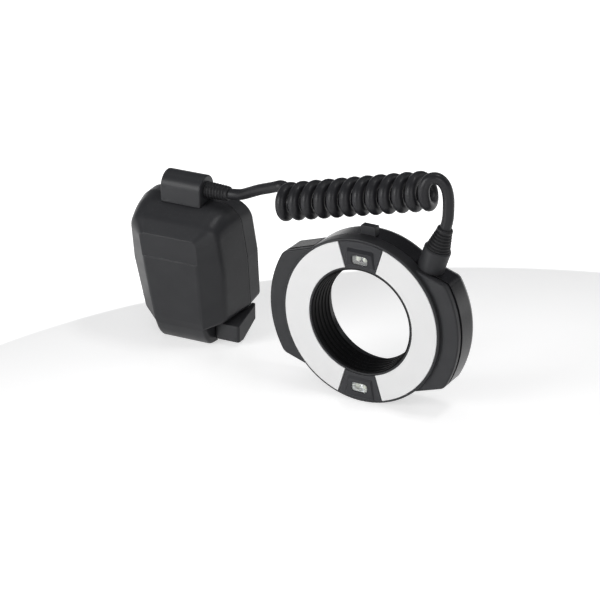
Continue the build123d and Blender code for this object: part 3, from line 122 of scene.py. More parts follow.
def handling_group():
    """Faint smears and dust from handling, strongest on faces that look upwards."""
    group, entry, leave = new_group(
        "handling marks",
        [("Vector", "NodeSocketVector", None), ("Smear Scale", "NodeSocketFloat", 35.0)],
        [("Smear", "NodeSocketFloat"), ("Dust", "NodeSocketFloat")],
    )
    stretch = group.nodes.new("ShaderNodeMapping")
    stretch.inputs["Scale"].default_value = (1.0, 1.0, 2.6)
    group.links.new(entry.outputs["Vector"], stretch.inputs["Vector"])
    smear = noise(group, stretch.outputs["Vector"], entry.outputs["Smear Scale"], 5.0, 0.62)
    smeared = ranged(group, smear.outputs["Fac"], 0.42, 0.68, 0.0, 1.0)
    group.links.new(smeared, leave.inputs["Smear"])
    geometry = group.nodes.new("ShaderNodeNewGeometry")
    split = group.nodes.new("ShaderNodeSeparateXYZ")
    group.links.new(geometry.outputs["Normal"], split.inputs["Vector"])
    upward = ranged(group, split.outputs["Z"], 0.35, 1.0, 0.0, 1.0)
    specks = noise(group, entry.outputs["Vector"], 900.0, 2.0)
    speckle = ranged(group, specks.outputs["Fac"], 0.62, 0.74, 0.0, 1.0)
    both = group.nodes.new("ShaderNodeMath")
    both.operation = "MULTIPLY"
    group.links.new(upward, both.inputs[0])
    group.links.new(speckle, both.inputs[1])
    group.links.new(both.outputs["Value"], leave.inputs["Dust"])
    return group


def brushed_group():
    """Fine parallel lines of drawn or brushed metal."""
    group, entry, leave = new_group(
        "drawn metal",
        [
            ("Vector", "NodeSocketVector", None),
            ("Line Scale", "NodeSocketFloat", 900.0),
            ("Stretch", "NodeSocketVector", (0.04, 1.0, 1.0)),
        ],
        [("Height", "NodeSocketFloat"), ("Tone", "NodeSocketFloat")],
    )
    along = group.nodes.new("ShaderNodeVectorMath")
    along.operation = "MULTIPLY"
    group.links.new(entry.outputs["Vector"], along.inputs[0])
    group.links.new(entry.outputs["Stretch"], along.inputs[1])
    lines = noise(group, along.outputs["Vector"], entry.outputs["Line Scale"], 2.0)
    group.links.new(lines.outputs["Fac"], leave.inputs["Height"])
    group.links.new(ranged(group, lines.outputs["Fac"], 0.3, 0.7, 0.0, 1.0), leave.inputs["Tone"])
    return group


moulded_grain = moulded_grain_group()
handling_marks = handling_group()
drawn_metal = brushed_group()


def group_node(tree, group, vector, **values):
    node = tree.nodes.new("ShaderNodeGroup")
    node.node_tree = group
    tree.links.new(vector, node.inputs["Vector"])
    for label, value in values.items():
        node.inputs[label.replace("_", " ")].default_value = value
    return node


def blend_colours(tree, factor, first, second):
    node = tree.nodes.new("ShaderNodeMix")
    node.data_type = "RGBA"
    tree.links.new(factor, node.inputs[0])
    for index, colour in ((6, first), (7, second)):
        if isinstance(colour, (tuple, list)):
            node.inputs[index].default_value = (*colour, 1.0)
        else:
            tree.links.new(colour, node.inputs[index])
    return node.outputs[2]


def bump(tree, height, strength, distance, normal=None):
    node = tree.nodes.new("ShaderNodeBump")
    node.inputs["Strength"].default_value = strength
    node.inputs["Distance"].default_value = distance
    tree.links.new(height, node.inputs["Height"])
    if normal is not None:
        tree.links.new(normal, node.inputs["Normal"])
    return node.outputs["Normal"]


def start_material(name):
    material = bpy.data.materials.new(name)
    material.use_nodes = True
    tree = material.node_tree
    shader = tree.nodes["Principled BSDF"]
    place = tree.nodes.new("ShaderNodeTexCoord").outputs["Object"]
    return material, tree, shader, place


def moulded_plastic(
    name,
    colour,
    worn,
    rough,
    smooth,
    grain=2600.0,
    depth=0.00002,
    strength=0.35,
    smear=35.0,
    coat=0.0,
    dust=(0.10, 0.10, 0.105),
    edge=0.4,
    gloss=0.4,
):
    """Moulded plastic or rubber: soft edges, grain, slow mottling, faint smears and dust."""
    material, tree, shader, place = start_material(name)
    texture = group_node(tree, moulded_grain, place, Grain_Scale=grain)
    marks = group_node(tree, handling_marks, place, Smear_Scale=smear)
    tone = blend_colours(tree, texture.outputs["Mottle"], colour, worn)
    dusty = ranged(tree, marks.outputs["Dust"], 0.0, 1.0, 0.0, 0.3)
    tree.links.new(blend_colours(tree, dusty, tone, dust), shader.inputs["Base Color"])
    matt = ranged(tree, marks.outputs["Smear"], 0.0, 1.0, rough, smooth)
    tree.links.new(matt, shader.inputs["Roughness"])
    rounding = None
    if edge > 0:
        soft = tree.nodes.new("ShaderNodeBevel")
        soft.samples = 6
        soft.inputs["Radius"].default_value = edge * MM
        rounding = soft.outputs["Normal"]
    surface = bump(tree, texture.outputs["Height"], strength, depth, rounding)
    tree.links.new(surface, shader.inputs["Normal"])
    shader.inputs["Specular IOR Level"].default_value = gloss
    shader.inputs["Coat Weight"].default_value = coat
    shader.inputs["Coat Roughness"].default_value = 0.12
    return material


def bare_metal(
    name, colour, bright, rough, smooth, lines=900.0, stretch=(0.05, 1.0, 1.0), strength=0.2
):
    """Drawn, rolled or plated metal with fine lines."""
    material, tree, shader, place = start_material(name)
    texture = group_node(tree, drawn_metal, place, Line_Scale=lines, Stretch=stretch)
    tone = blend_colours(tree, texture.outputs["Tone"], colour, bright)
    tree.links.new(tone, shader.inputs["Base Color"])
    matt = ranged(tree, texture.outputs["Tone"], 0.0, 1.0, rough, smooth)
    tree.links.new(matt, shader.inputs["Roughness"])
    surface = bump(tree, texture.outputs["Height"], strength, 0.00001)
    tree.links.new(surface, shader.inputs["Normal"])
    shader.inputs["Metallic"].default_value = 1.0
    return material


def clear_pane(name, tint, rough):
    """Clear moulded glass or acrylic with faint surface ripple."""
    material, tree, shader, place = start_material(name)
    texture = group_node(tree, moulded_grain, place, Grain_Scale=220.0, Mottle_Scale=90.0)
    shaded = tuple(c * 0.96 for c in tint)
    colour = blend_colours(tree, texture.outputs["Mottle"], tint, shaded)
    tree.links.new(colour, shader.inputs["Base Color"])
    matt = ranged(tree, texture.outputs["Mottle"], 0.0, 1.0, rough, rough * 1.6)
    tree.links.new(matt, shader.inputs["Roughness"])
    tree.links.new(bump(tree, texture.outputs["Height"], 0.02, 0.00001), shader.inputs["Normal"])
    shader.inputs["Transmission Weight"].default_value = 0.92
    shader.inputs["IOR"].default_value = 1.49
    return material


casing_black = moulded_plastic(
    "casing black",
    (0.026, 0.0265, 0.029),
    (0.031, 0.0315, 0.034),
    0.40,
    0.33,
    strength=0.4,
    edge=0.7,
    gloss=0.22,
)
cover_black = moulded_plastic(
    "cover black",
    (0.030, 0.0305, 0.033),
    (0.036, 0.0365, 0.039),
    0.42,
    0.36,
    strength=0.35,
    edge=0.5,
    gloss=0.2,
)
rear_black = moulded_plastic(
    "rear cover black",
    (0.0075, 0.0075, 0.0085),
    (0.010, 0.010, 0.0115),
    0.27,
    0.22,
    strength=0.25,
    edge=0.6,
    gloss=0.3,
)
panel_black = moulded_plastic(
    "lamp panel black",
    (0.022, 0.0225, 0.026),
    (0.027, 0.0275, 0.031),
    0.36,
    0.30,
    strength=0.3,
    edge=0.3,
    gloss=0.24,
)
# Inner parts: the black plastic darkened far below the casing's, painted shade inside the bore and
# the wells
inner_shade_black = moulded_plastic(
    "inner black with painted shade",
    (0.0022, 0.0022, 0.0025),
    (0.0035, 0.0035, 0.004),
    0.56,
    0.5,
    grain=1800.0,
    strength=0.4,
    edge=0.15,
    gloss=0.09,
)
relief_rubber = moulded_plastic(
    "relief rubber",
    (0.014, 0.014, 0.0155),
    (0.018, 0.018, 0.0195),
    0.48,
    0.42,
    grain=1500.0,
    depth=0.00003,
    edge=0.0,
    gloss=0.25,
)
cord_jacket = moulded_plastic(
    "cord jacket",
    (0.015, 0.015, 0.0172),
    (0.019, 0.019, 0.0215),
    0.40,
    0.34,
    grain=1300.0,
    strength=0.25,
    smear=80.0,
    edge=0.0,
    gloss=0.26,
)
key_grey = moulded_plastic(
    "key grey",
    (0.10, 0.104, 0.112),
    (0.12, 0.124, 0.132),
    0.46,
    0.38,
    edge=0.2,
)
diffuser_white = moulded_plastic(
    "diffuser white",
    (0.83, 0.83, 0.83),
    (0.845, 0.845, 0.845),
    0.36,
    0.30,
    grain=900.0,
    depth=0.00001,
    strength=0.15,
    coat=0.15,
    dust=(0.72, 0.72, 0.72),
    edge=0.5,
)
board_green = moulded_plastic(
    "board green",
    (0.018, 0.11, 0.045),
    (0.03, 0.15, 0.06),
    0.35,
    0.28,
    grain=1400.0,
    coat=0.3,
    edge=0.0,
)
capacitor_blue = moulded_plastic(
    "capacitor sleeve",
    (0.015, 0.02, 0.075),
    (0.02, 0.03, 0.09),
    0.28,
    0.2,
    coat=0.4,
)
core_black = moulded_plastic(
    "transformer core",
    (0.03, 0.028, 0.026),
    (0.045, 0.042, 0.04),
    0.6,
    0.5,
    grain=1100.0,
)
cell_grey = moulded_plastic(
    "cell sleeve",
    (0.10, 0.11, 0.13),
    (0.13, 0.14, 0.16),
    0.24,
    0.18,
    coat=0.4,
)
display_face = moulded_plastic(
    "display face",
    (0.20, 0.23, 0.19),
    (0.22, 0.25, 0.21),
    0.30,
    0.25,
    coat=0.2,
    edge=0.0,
)
led_resin = moulded_plastic(
    "led resin",
    (0.80, 0.83, 0.66),
    (0.85, 0.88, 0.74),
    0.22,
    0.15,
    coat=0.5,
    edge=0.3,
)
bare_steel = bare_metal("bare steel", (0.50, 0.51, 0.53), (0.62, 0.63, 0.65), 0.34, 0.24)
contact_gold = bare_metal("contact gold", (0.80, 0.60, 0.26), (0.88, 0.70, 0.36), 0.26, 0.18)
bright_mirror = bare_metal(
    "bright reflector",
    (0.86, 0.87, 0.88),
    (0.93, 0.94, 0.95),
    0.30,
    0.22,
    lines=300.0,
    strength=0.05,
)
# The top lamp's tray: the bright reflector darkened to grey, painted shade behind the top window
painted_shade_mirror = bare_metal(
    "reflector with painted shade",
    (0.30, 0.305, 0.31),
    (0.40, 0.405, 0.41),
    0.34,
    0.26,
    lines=300.0,
    strength=0.05,
)
screw_steel = bare_metal("screw steel", (0.12, 0.12, 0.125), (0.18, 0.18, 0.185), 0.42, 0.32)
clear_window = clear_pane("clear window", (0.93, 0.94, 0.945), 0.12)
tube_glass = clear_pane("tube glass", (0.94, 0.95, 0.96), 0.05)

finish_of = {
    "controller_strain_relief": relief_rubber,
    "ring_strain_relief": relief_rubber,
    "bore_sleeve": inner_shade_black,
    "battery_cradle": inner_shade_black,
    "latch_slider": inner_shade_black,
    "battery_cells": cell_grey,
    "cell_contacts": contact_gold,
    "foot_contacts": contact_gold,
    "main_board": board_green,
    "ring_board": board_green,
    "flash_capacitor": capacitor_blue,
    "step_up_transformer": core_black,
    "lcd_panel": display_face,
    "display_window": clear_window,
    "lamp_window_top": clear_window,
    "lamp_window_bottom": clear_window,
    "flash_tube_left": tube_glass,
    "flash_tube_right": tube_glass,
    "lamp_leds": led_resin,
    "diffuser_left": diffuser_white,
    "diffuser_right": diffuser_white,
    "lamp_panel_top": panel_black,
    "lamp_panel_bottom": panel_black,
    "ring_front_cover": cover_black,
    "ring_rear_cover": rear_black,
    "cord_collar": cover_black,
    "release_tab": cover_black,
}
for name in ("door_hinge_pin", "latch_springs", "locking_pin", "mounting_foot"):
    finish_of[name] = bare_steel
for name in ("casing_screws", "ring_screws"):
    finish_of[name] = screw_steel
for side in ("left", "right"):
    finish_of["flash_reflector_" + side] = bright_mirror
for side in ("top", "bottom"):
    finish_of["lamp_reflector_" + side] = bright_mirror
for name in [f"function_button_{i}" for i in range(1, 5)]:
    finish_of[name] = key_grey
for name in ("lamp_button", "test_button", "set_button"):
    finish_of[name] = key_grey


def wear(obj, material):
    obj.data.materials.clear()
    obj.data.materials.append(material)


for name, node in nodes.items():
    wear(node, finish_of.get(name, casing_black))


# Front casing, lofted through the casing's sections with the radii of the moulding
case_lean = radians(11.0)
case_face_y = -24.1
case_half = 36.0
case_high = 88.6
case_deep = 45.8
case_round = 14.0
case_wall = 1.6
lip = 0.45  # how far the shell is drawn in at the seam
section_shares = {
    "panel": (0.0, 0.523, 0.508, 0.44, 0.866, 0.58, 0.13, 0.22, 0.2),
    "ridge": (0.2, 0.835, 0.876, 0.785, 0.957, 0.59, 0.157, 0.8, 0.35),
    "crown": (0.445, 0.903, 0.94, 0.865, 1.0, 0.585, 0.152, 0.95, 0.4),
    "seam": (0.69, 0.96, 1.0, 0.94, 0.998, 0.575, 0.143, 1.0, 0.45),
}


def lean_point(across, depth, height):
    """Place in metres from millimetres across, behind and up the leaning casing."""
    y = case_face_y + depth * cos(case_lean) - height * sin(case_lean)
    return Vector((across, y, depth * sin(case_lean) + height * cos(case_lean))) * MM


def corner_arc(before, corner, after, radius, steps):
    """Points of a round corner between two straight runs."""
    back = (before - corner).normalized()
    ahead = (after - corner).normalized()
    half = back.angle(ahead) / 2
    reach = radius / math.tan(half)
    middle = corner + (back + ahead).normalized() * (radius / sin(half))
    first = corner + back * reach - middle
    last = corner + ahead * reach - middle
    return [middle + first.slerp(last, i / steps).normalized() * radius for i in range(steps + 1)]


def case_outline(shares, inset):
    """Front view of a section: two round corners above, two below and the waist between."""
    depth, top, middle, bottom, high, waist, low, round_top, round_low = shares
    up = case_high * high - inset
    down = case_high * low + inset
    across = [case_half * share - inset for share in (top, middle, bottom)]
    side = case_high * waist
    places = [
        (-across[0], up),
        (across[0], up),
        (across[1], side),
        (across[2], down),
        (-across[2], down),
        (-across[1], side),
    ]
    upper = case_round * round_top - inset * round_top
    lower = case_round * round_low - inset * round_low
    radii = [upper, upper, 0, lower, lower, 0]
    corners = [Vector((x, z, 0)) for x, z in places]
    points = []
    for i, corner in enumerate(corners):
        if radii[i] > 0:
            points += corner_arc(corners[i - 1], corner, corners[(i + 1) % 6], radii[i], 10)
        else:
            points.append(corner)
    return points


def solid_between(rings):
    """A closed solid through rings of equally many points."""
    mesh = bmesh.new()
    loops = [[mesh.verts.new(point) for point in ring] for ring in rings]
    for low, high in zip(loops, loops[1:]):
        for i in range(len(low)):
            j = (i + 1) % len(low)
            mesh.faces.new((low[i], low[j], high[j], high[i]))
    mesh.faces.new(list(reversed(loops[0])))
    mesh.faces.new(loops[-1])
    bmesh.ops.recalc_face_normals(mesh, faces=mesh.faces)
    return mesh


def eased(before, corner, after, reach, steps=5):
    """Rings that round the edge at a section, reaching a little way to its neighbours."""
    rings = []
    for i in range(steps + 1):
        t = i / steps
        ring = []
        for a, c, b in zip(before, corner, after):
            near = c + (a - c).normalized() * min(reach, (a - c).length * 0.45)
            far = c + (b - c).normalized() * min(reach, (b - c).length * 0.45)
            ring.append(near * (1 - t) ** 2 + c * (2 * t * (1 - t)) + far * t ** 2)
        rings.append(ring)
    return rings


def case_ring(name, inset, nearer=0.0):
    shares = section_shares[name]
    depth = case_deep * shares[0] - nearer
    return [lean_point(p.x, depth, p.y) for p in case_outline(shares, inset)]


def case_body():
    """Outside of the front casing with its rounded edges and the drawn-in lip at the seam."""
    panel, ridge, crown = [case_ring(name, 0.0) for name in ("panel", "ridge", "crown")]
    seam = case_ring("seam", 0.0, lip)
    rings = eased(case_ring("panel", 6.0), panel, ridge, 1.5 * MM)
    rings += eased(panel, ridge, crown, 3.0 * MM) + eased(ridge, crown, seam, 4.0 * MM)
    rings += [seam, case_ring("seam", lip, lip), case_ring("seam", lip)]
    return solid_between(rings)


def case_hollow():
    rings = [case_ring("panel", case_wall, -case_wall)]
    rings += [case_ring(name, case_wall) for name in ("ridge", "crown", "seam")]
    return solid_between(rings + [case_ring("seam", case_wall, -2.0)])


# The bulge's front in side view, (depth, height): down the panel, then back to the foot
toe_sweep = [(0.0, 22.0), (0.3, 17.0), (1.1, 11.5), (2.4, 6.5)]
toe_sweep += [(4.2, 2.4), (6.4, -0.9), (8.8, -2.9)]


def toe_side(inset):
    """Side view of the bulge, with its front drawn in by an inset."""
    side = [(depth + inset, height + inset * (height < 0)) for depth, height in toe_sweep]
    return side + [(14.0, -3.0), (14.0, 22.0)]


def toe_solid(inset, half, edge):
    """The bulge that carries the casing's weight down to the foot, with rounded ends."""
    turns = [pi / 2 * i / 4 for i in range(5)]
    places = [(inset + edge * (1 - sin(a)), half - edge + edge * cos(a)) for a in turns]
    places = [(drawn, -x) for drawn, x in places] + [(drawn, x) for drawn, x in reversed(places)]
    rings = [[lean_point(x, *place) for place in toe_side(drawn)] for drawn, x in places]
    return solid_between(rings)


def to_object(mesh, name):
    data = bpy.data.meshes.new(name)
    mesh.to_mesh(data)
    mesh.free()
    piece = bpy.data.objects.new(name, data)
    bpy.context.collection.objects.link(piece)
    return piece


def bake_modifiers(piece):
    """Turn the piece's modifiers into its mesh."""
    graph = bpy.context.evaluated_depsgraph_get()
    done = bpy.data.meshes.new_from_object(piece.evaluated_get(graph))
    piece.modifiers.clear()
    piece.data = done


def combine(piece, other, operation):
    """Add or cut away another solid, which is used up."""
    step = piece.modifiers.new(operation.lower(), "BOOLEAN")
    step.object = other
    step.operation = operation
    step.solver = "EXACT"
    bake_modifiers(piece)
    bpy.data.objects.remove(other)


def block(name, places):
    """A solid between two outlines given by their corners."""
    return to_object(solid_between(places), name)


def lean_block(name, left, right, front, back, low, high):
    corners = ((left, low), (right, low), (right, high), (left, high))
    return block(name, [[lean_point(x, depth, z) for x, z in corners] for depth in (front, back)])


def finish_piece(piece, name, material, body, sharp=32.0):
    """Shade a piece smooth but for its sharp edges, and give it its finish and body."""
    mesh = bmesh.new()
    mesh.from_mesh(piece.data)
    for face in mesh.faces:
        face.smooth = True
    for edge in mesh.edges:
        edge.smooth = len(edge.link_faces) == 2 and edge.calc_face_angle() < radians(sharp)
    mesh.to_mesh(piece.data)
    mesh.free()
    even = piece.modifiers.new("even shading", "WEIGHTED_NORMAL")
    even.keep_sharp = True
    wear(piece, material)
    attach(piece, body)
    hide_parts(name)


def front_casing():
    """The shell with its swept foot, badge recess and battery doorway."""
    piece = to_object(case_body(), "front_casing_shell")
    swept = [(-6.0, 22.0), *toe_sweep, (8.8, -12.0), (-6.0, -12.0)]
    front = [lean_point(0, *place) for place in swept]
    sides = [[point + Vector((x * MM, 0, 0)) for point in front] for x in (-60, 60)]
    combine(piece, block("swept_foot", sides), "DIFFERENCE")
    combine(piece, to_object(toe_solid(0.0, 17.9, 2.4), "toe"), "UNION")
    combine(piece, to_object(case_hollow(), "hollow"), "DIFFERENCE")
    square = ((-0.1, -0.1), (0.1, -0.1), (0.1, 0.1), (-0.1, 0.1))
    ground = block("ground", [[Vector((x, y, z)) for x, y in square] for z in (-0.05, 0.0)])
    combine(piece, ground, "DIFFERENCE")
    recess_side = ((-4.0, 57.0), (0.6, 60.9), (0.6, 92.0), (-4.0, 92.0))
    recess = [[lean_point(x, *place) for place in recess_side] for x in (-40, 40)]
    combine(piece, block("badge_recess", recess), "DIFFERENCE")
    combine(piece, lean_block("doorway", -60.0, -26.0, 11.2, 40.2, 19.5, 48.4), "DIFFERENCE")
    finish_piece(piece, "front_casing", casing_black, "housing")


front_casing()


# Focusing lamps of the ring
ring_yaw = radians(-2.5)
ring_middle = Vector((134.3, -48.0, 51.6))
band_inner = 34.15
band_outer = 50.05
lamp_half_angle = radians(16.7)


def ring_point(across, up, out):
    """Place in metres from millimetres across, up and out of the ring's white face."""
    side = Vector((cos(ring_yaw), sin(ring_yaw), 0))
    ahead = Vector((sin(ring_yaw), -cos(ring_yaw), 0))
    return (ring_middle + side * across + Vector((0, 0, up)) + ahead * out) * MM


def ring_loft(outlines):
    """A solid through outlines that each stand at their own distance out of the face."""
    rings = [[ring_point(x, z, out + sum(more)) for x, z, *more in line] for out, line in outlines]
    return solid_between(rings)


def lamp_sector(side):
    turns = [lamp_half_angle * (i / 10 - 1) for i in range(21)]
    outline = [(band_outer * sin(a), side * band_outer * cos(a)) for a in turns]
    return outline + [(band_inner * sin(a), side * band_inner * cos(a)) for a in reversed(turns)]


def trapezium(low, high, half_low, half_high, inset=(0, 0, 0)):
    below, above, beside = inset
    return [
        (beside - half_low, low + below),
        (half_low - beside, low + below),
        (half_high - beside, high - above),
        (beside - half_high, high - above),
    ]


def window_outline(middle, wide, high, corner):
    signs = ((-1, -1), (1, -1), (1, 1), (-1, 1))
    corners = [Vector((x * wide / 2, middle + z * high / 2, 0)) for x, z in signs]
    points = []
    for i, place in enumerate(corners):
        points += corner_arc(corners[i - 1], place, corners[(i + 1) % 4], corner, 6)
    return [(p.x, p.y) for p in points]


def lamp_panel(name, side, middle, platform, slopes, tilt):
    """Black panel between the diffusers with its raised platform and window opening."""
    plate = lamp_sector(side)
    piece = to_object(ring_loft([(-1.7, plate), (-0.25, plate), (0.0, plate)]), name + "_shell")
    base = trapezium(*platform)
    face = trapezium(*platform, slopes)
    face = [(x, z, tilt * (i > 1)) for i, (x, z) in enumerate(face)]
    raised = [(-0.8, base), (0.05, base), (0.7, face)]
    combine(piece, to_object(ring_loft(raised), name + "_platform"), "UNION")
    cut = window_outline(middle, 10.4, 5.6, 2.0)
    flare = window_outline(middle, 11.2, 6.4, 2.4)
    opening = ring_loft([(-3.0, cut), (0.6, cut), (2.2, flare)])
    combine(piece, to_object(opening, name + "_opening"), "DIFFERENCE")
    finish_piece(piece, name, panel_black, "housing", sharp=25.0)


def lamp_cup(name, middle, finish):
    """Tray behind a window, with sloping walls, in the finish given: bright, or darkened with
    painted shade for the top lamp.
    """
    mouth = window_outline(middle, 10.3, 5.5, 2.0)
    floor = window_outline(middle, 7.6, 3.4, 1.4)
    waist = window_outline(middle, 9.6, 4.9, 1.8)
    mesh = ring_loft([(-0.7, mouth), (-1.6, waist), (-cup_deep, floor)])
    cup_floor = ring_point(0, middle, -cup_deep)
    caps = [face for face in mesh.faces if len(face.verts) > 4]
    lid = max(caps, key=lambda face: (face.calc_center_median() - cup_floor).length)
    bmesh.ops.delete(mesh, geom=[lid], context="FACES_ONLY")
    finish_piece(to_object(mesh, name + "_tray"), name, finish, "housing", sharp=50.0)


def lamp_lens(name, middle):
    """Clear window with a softly domed front."""
    side = window_outline(middle, 10.3, 5.5, 1.95)
    rings = [(-0.75, side), (0.35, side)]
    rings += [(0.62, window_outline(middle, 9.6, 4.8, 1.7))]
    rings += [(0.74, window_outline(middle, 7.4, 3.0, 1.2))]
    piece = to_object(ring_loft(rings), name + "_lens")
    finish_piece(piece, name, clear_window, "housing", sharp=60.0)


def lamp_domes():
    """The four lamps: a short cylinder with a round top each."""
    whole = bmesh.new()
    for middle in (top_lamp, bottom_lamp):
        for across in (-2.3, 2.3):
            rings = []
            for out, radius in dome_profile:
                turns = [tau * i / dome_sides for i in range(dome_sides)]
                circle = [(across + radius * cos(a), middle + radius * sin(a)) for a in turns]
                rings.append([whole.verts.new(ring_point(x, z, out)) for x, z in circle])
            for low, high in zip(rings, rings[1:]):
                for i in range(dome_sides):
                    j = (i + 1) % dome_sides
                    whole.faces.new((low[i], low[j], high[j], high[i]))
            whole.faces.new(rings[-1])
            whole.faces.new(list(reversed(rings[0])))
    bmesh.ops.recalc_face_normals(whole, faces=whole.faces)
    finish_piece(to_object(whole, "lamp_domes"), "lamp_leds", led_resin, "housing", sharp=60.0)


top_lamp = 38.9
bottom_lamp = -42.4
cup_deep = 3.2
dome_sides = 20
dome_profile = ((-3.15, 1.5), (-2.5, 1.5), (-2.1, 1.4), (-1.8, 1.15), (-1.6, 0.75), (-1.55, 0.3))
lamp_panel("lamp_panel_top", 1, top_lamp, (34.9, 45.6, 9.6, 8.4), (0.4, 1.9, 0.6), 1.0)
lamp_panel("lamp_panel_bottom", -1, bottom_lamp, (-49.0, -36.0, 9.8, 7.9), (0.4, 1.7, 0.6), 0.6)
# The top lamp's tray takes the reflector darkened with painted shade
for lamp, place, tray in (("top", top_lamp, painted_shade_mirror), ("bottom", bottom_lamp, bright_mirror)):
    lamp_cup("lamp_reflector_" + lamp, place, tray)
    lamp_lens("lamp_window_" + lamp, place)
lamp_domes()


# Cord
cord_radius = 3.4
coil_turns = 11


def cord_route():
    """The cord's line in millimetres: lead, coil and the lead into the collar."""
    points = [(29.4, -12, 100), (36, -12, 100.3), (44.5, -14.6, 104.6), (53, -17.9, 109.2)]
    points += [(60.5, -20.6, 112.4), (66.6, -22.8, 115.2), (70.6, -23.9, 117.2)]
    points += [(74.2, -22.0, 115.0)]
    first = Vector((71.3, -29.0, 108.3))
    run = Vector((165.3, -33.0, 133.6)) - first
    along = run.normalized()
    over = (Vector((0, 0, 1)) - along * along.z).normalized()
    front = along.cross(over)
    per_turn = 12
    hull = 4 / (3 + cos(tau / per_turn))
    for step in range(3, coil_turns * per_turn + 10):
        turn = step / per_turn
        around = over * cos(tau * turn) - front * sin(tau * turn)
        widening = 8.15 + 0.03 * turn
        points.append(first + run * (turn / coil_turns) + around * widening * hull)
    points += [(171.2, -42.0, 140.6), (173.6, -40.6, 145.6), (178.6, -38.8, 146.6)]
    points += [(182.8, -37.2, 142.2), (184.4, -36.4, 135.0), (184.4, -36.2, 127.4)]
    points += [(184.0, -36.15, 119.6), (181.95, -36.07, 113.2)]
    return [Vector(point) * MM for point in points]


def make_cord():
    curve = bpy.data.curves.new("coiled_cord_line", "CURVE")
    curve.dimensions = "3D"
    curve.resolution_u = 6
    curve.bevel_depth = cord_radius * MM
    curve.bevel_resolution = 6
    curve.use_fill_caps = True
    spline = curve.splines.new("NURBS")
    route = cord_route()
    spline.points.add(len(route) - 1)
    for point, place in zip(spline.points, route):
        point.co = (*place, 1.0)
    spline.order_u = 3
    spline.use_endpoint_u = True
    cord = bpy.data.objects.new("coiled_cord_line", curve)
    bpy.context.collection.objects.link(cord)
    cord.data.materials.append(cord_jacket)
    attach(cord, "housing")
    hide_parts("controller_lead", "coiled_cord", "ring_lead")


make_cord()


# Strain reliefs
def turned_piece(name, profile, origin, direction, material, sides=72):
    """A piece turned about an axis from (distance, radius) points, in millimetres."""
    direction = Vector(direction).normalized()
    turn = direction.to_track_quat("Z", "Y").to_matrix().to_4x4()
    mesh = bmesh.new()
    rings = []
    for distance, radius in profile:
        if radius <= 0:
            rings.append([mesh.verts.new((0, 0, distance * MM))])
        else:
            turns = [tau * i / sides for i in range(sides)]
            circle = [(radius * MM * cos(a), radius * MM * sin(a)) for a in turns]
            rings.append([mesh.verts.new((x, y, distance * MM)) for x, y in circle])
    for low, high in zip(rings, rings[1:]):
        for i in range(sides):
            j = (i + 1) % sides
            if len(low) == 1:
                mesh.faces.new((low[0], high[j], high[i]))
            elif len(high) == 1:
                mesh.faces.new((low[i], low[j], high[0]))
            else:
                mesh.faces.new((low[i], low[j], high[j], high[i]))
    bmesh.ops.recalc_face_normals(mesh, faces=mesh.faces)
    place = Matrix.Translation(Vector(origin) * MM) @ turn
    bmesh.ops.transform(mesh, matrix=place, verts=mesh.verts)
    data = bpy.data.meshes.new(name)
    mesh.to_mesh(data)
    mesh.free()
    data.shade_smooth()
    piece = bpy.data.objects.new(name, data)
    bpy.context.collection.objects.link(piece)
    wear(piece, material)
    return piece


# One rib and the groove after it: (share of the pitch, share of the groove's depth)
rib_shape = [(0.0, 1.0), (0.06, 0.55), (0.14, 0.18), (0.26, 0.0), (0.46, 0.0)]
rib_shape += [(0.58, 0.18), (0.66, 0.55), (0.72, 1.0), (0.99, 1.0)]


def rib_profile(start, pitch, count, first_radius, last_radius, groove):
    """Rounded ribs that taper from the first radius to the last."""
    points = []
    for i in range(count):
        radius = first_radius + (last_radius - first_radius) * i / (count - 1)
        base = start + pitch * i
        for share, drop in rib_shape:
            points.append((base + pitch * share, radius - groove * drop))
    return points


def strain_reliefs():
    body = [(9.7, 0), (9.7, 6.0), (11.7, 6.0), (11.7, 4.6), (13.6, 4.6)]
    body += rib_profile(13.6, 1.95, 7, 5.3, 4.75, 0.6)
    body += [(27.3, 4.6), (28.9, 4.35), (29.4, 3.9), (29.4, 0)]
    relief = turned_piece(
        "controller_relief_sleeve", body, (0, -12, 100), (1, 0, 0), relief_rubber
    )
    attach(relief, "housing")
    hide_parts("controller_strain_relief")
    cone = [(10.0, 0), (10.0, 4.5), (16.1, 4.5)]
    cone += rib_profile(16.1, 1.9, 6, 7.1, 5.1, 0.85)
    cone += [(27.5, 4.9), (29.2, 4.7), (29.8, 4.2), (29.8, 0)]
    root = (172.974, -35.675, 87.1)
    outward = (0.325258, -0.014201, 0.945519)
    relief = turned_piece("ring_relief_sleeve", cone, root, outward, relief_rubber)
    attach(relief, "housing")
    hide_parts("ring_strain_relief")


strain_reliefs()


# Springs under the latch
spring_wire = 0.2
spring_radius = 1.05
spring_steps = 72
steps_per_turn = 12


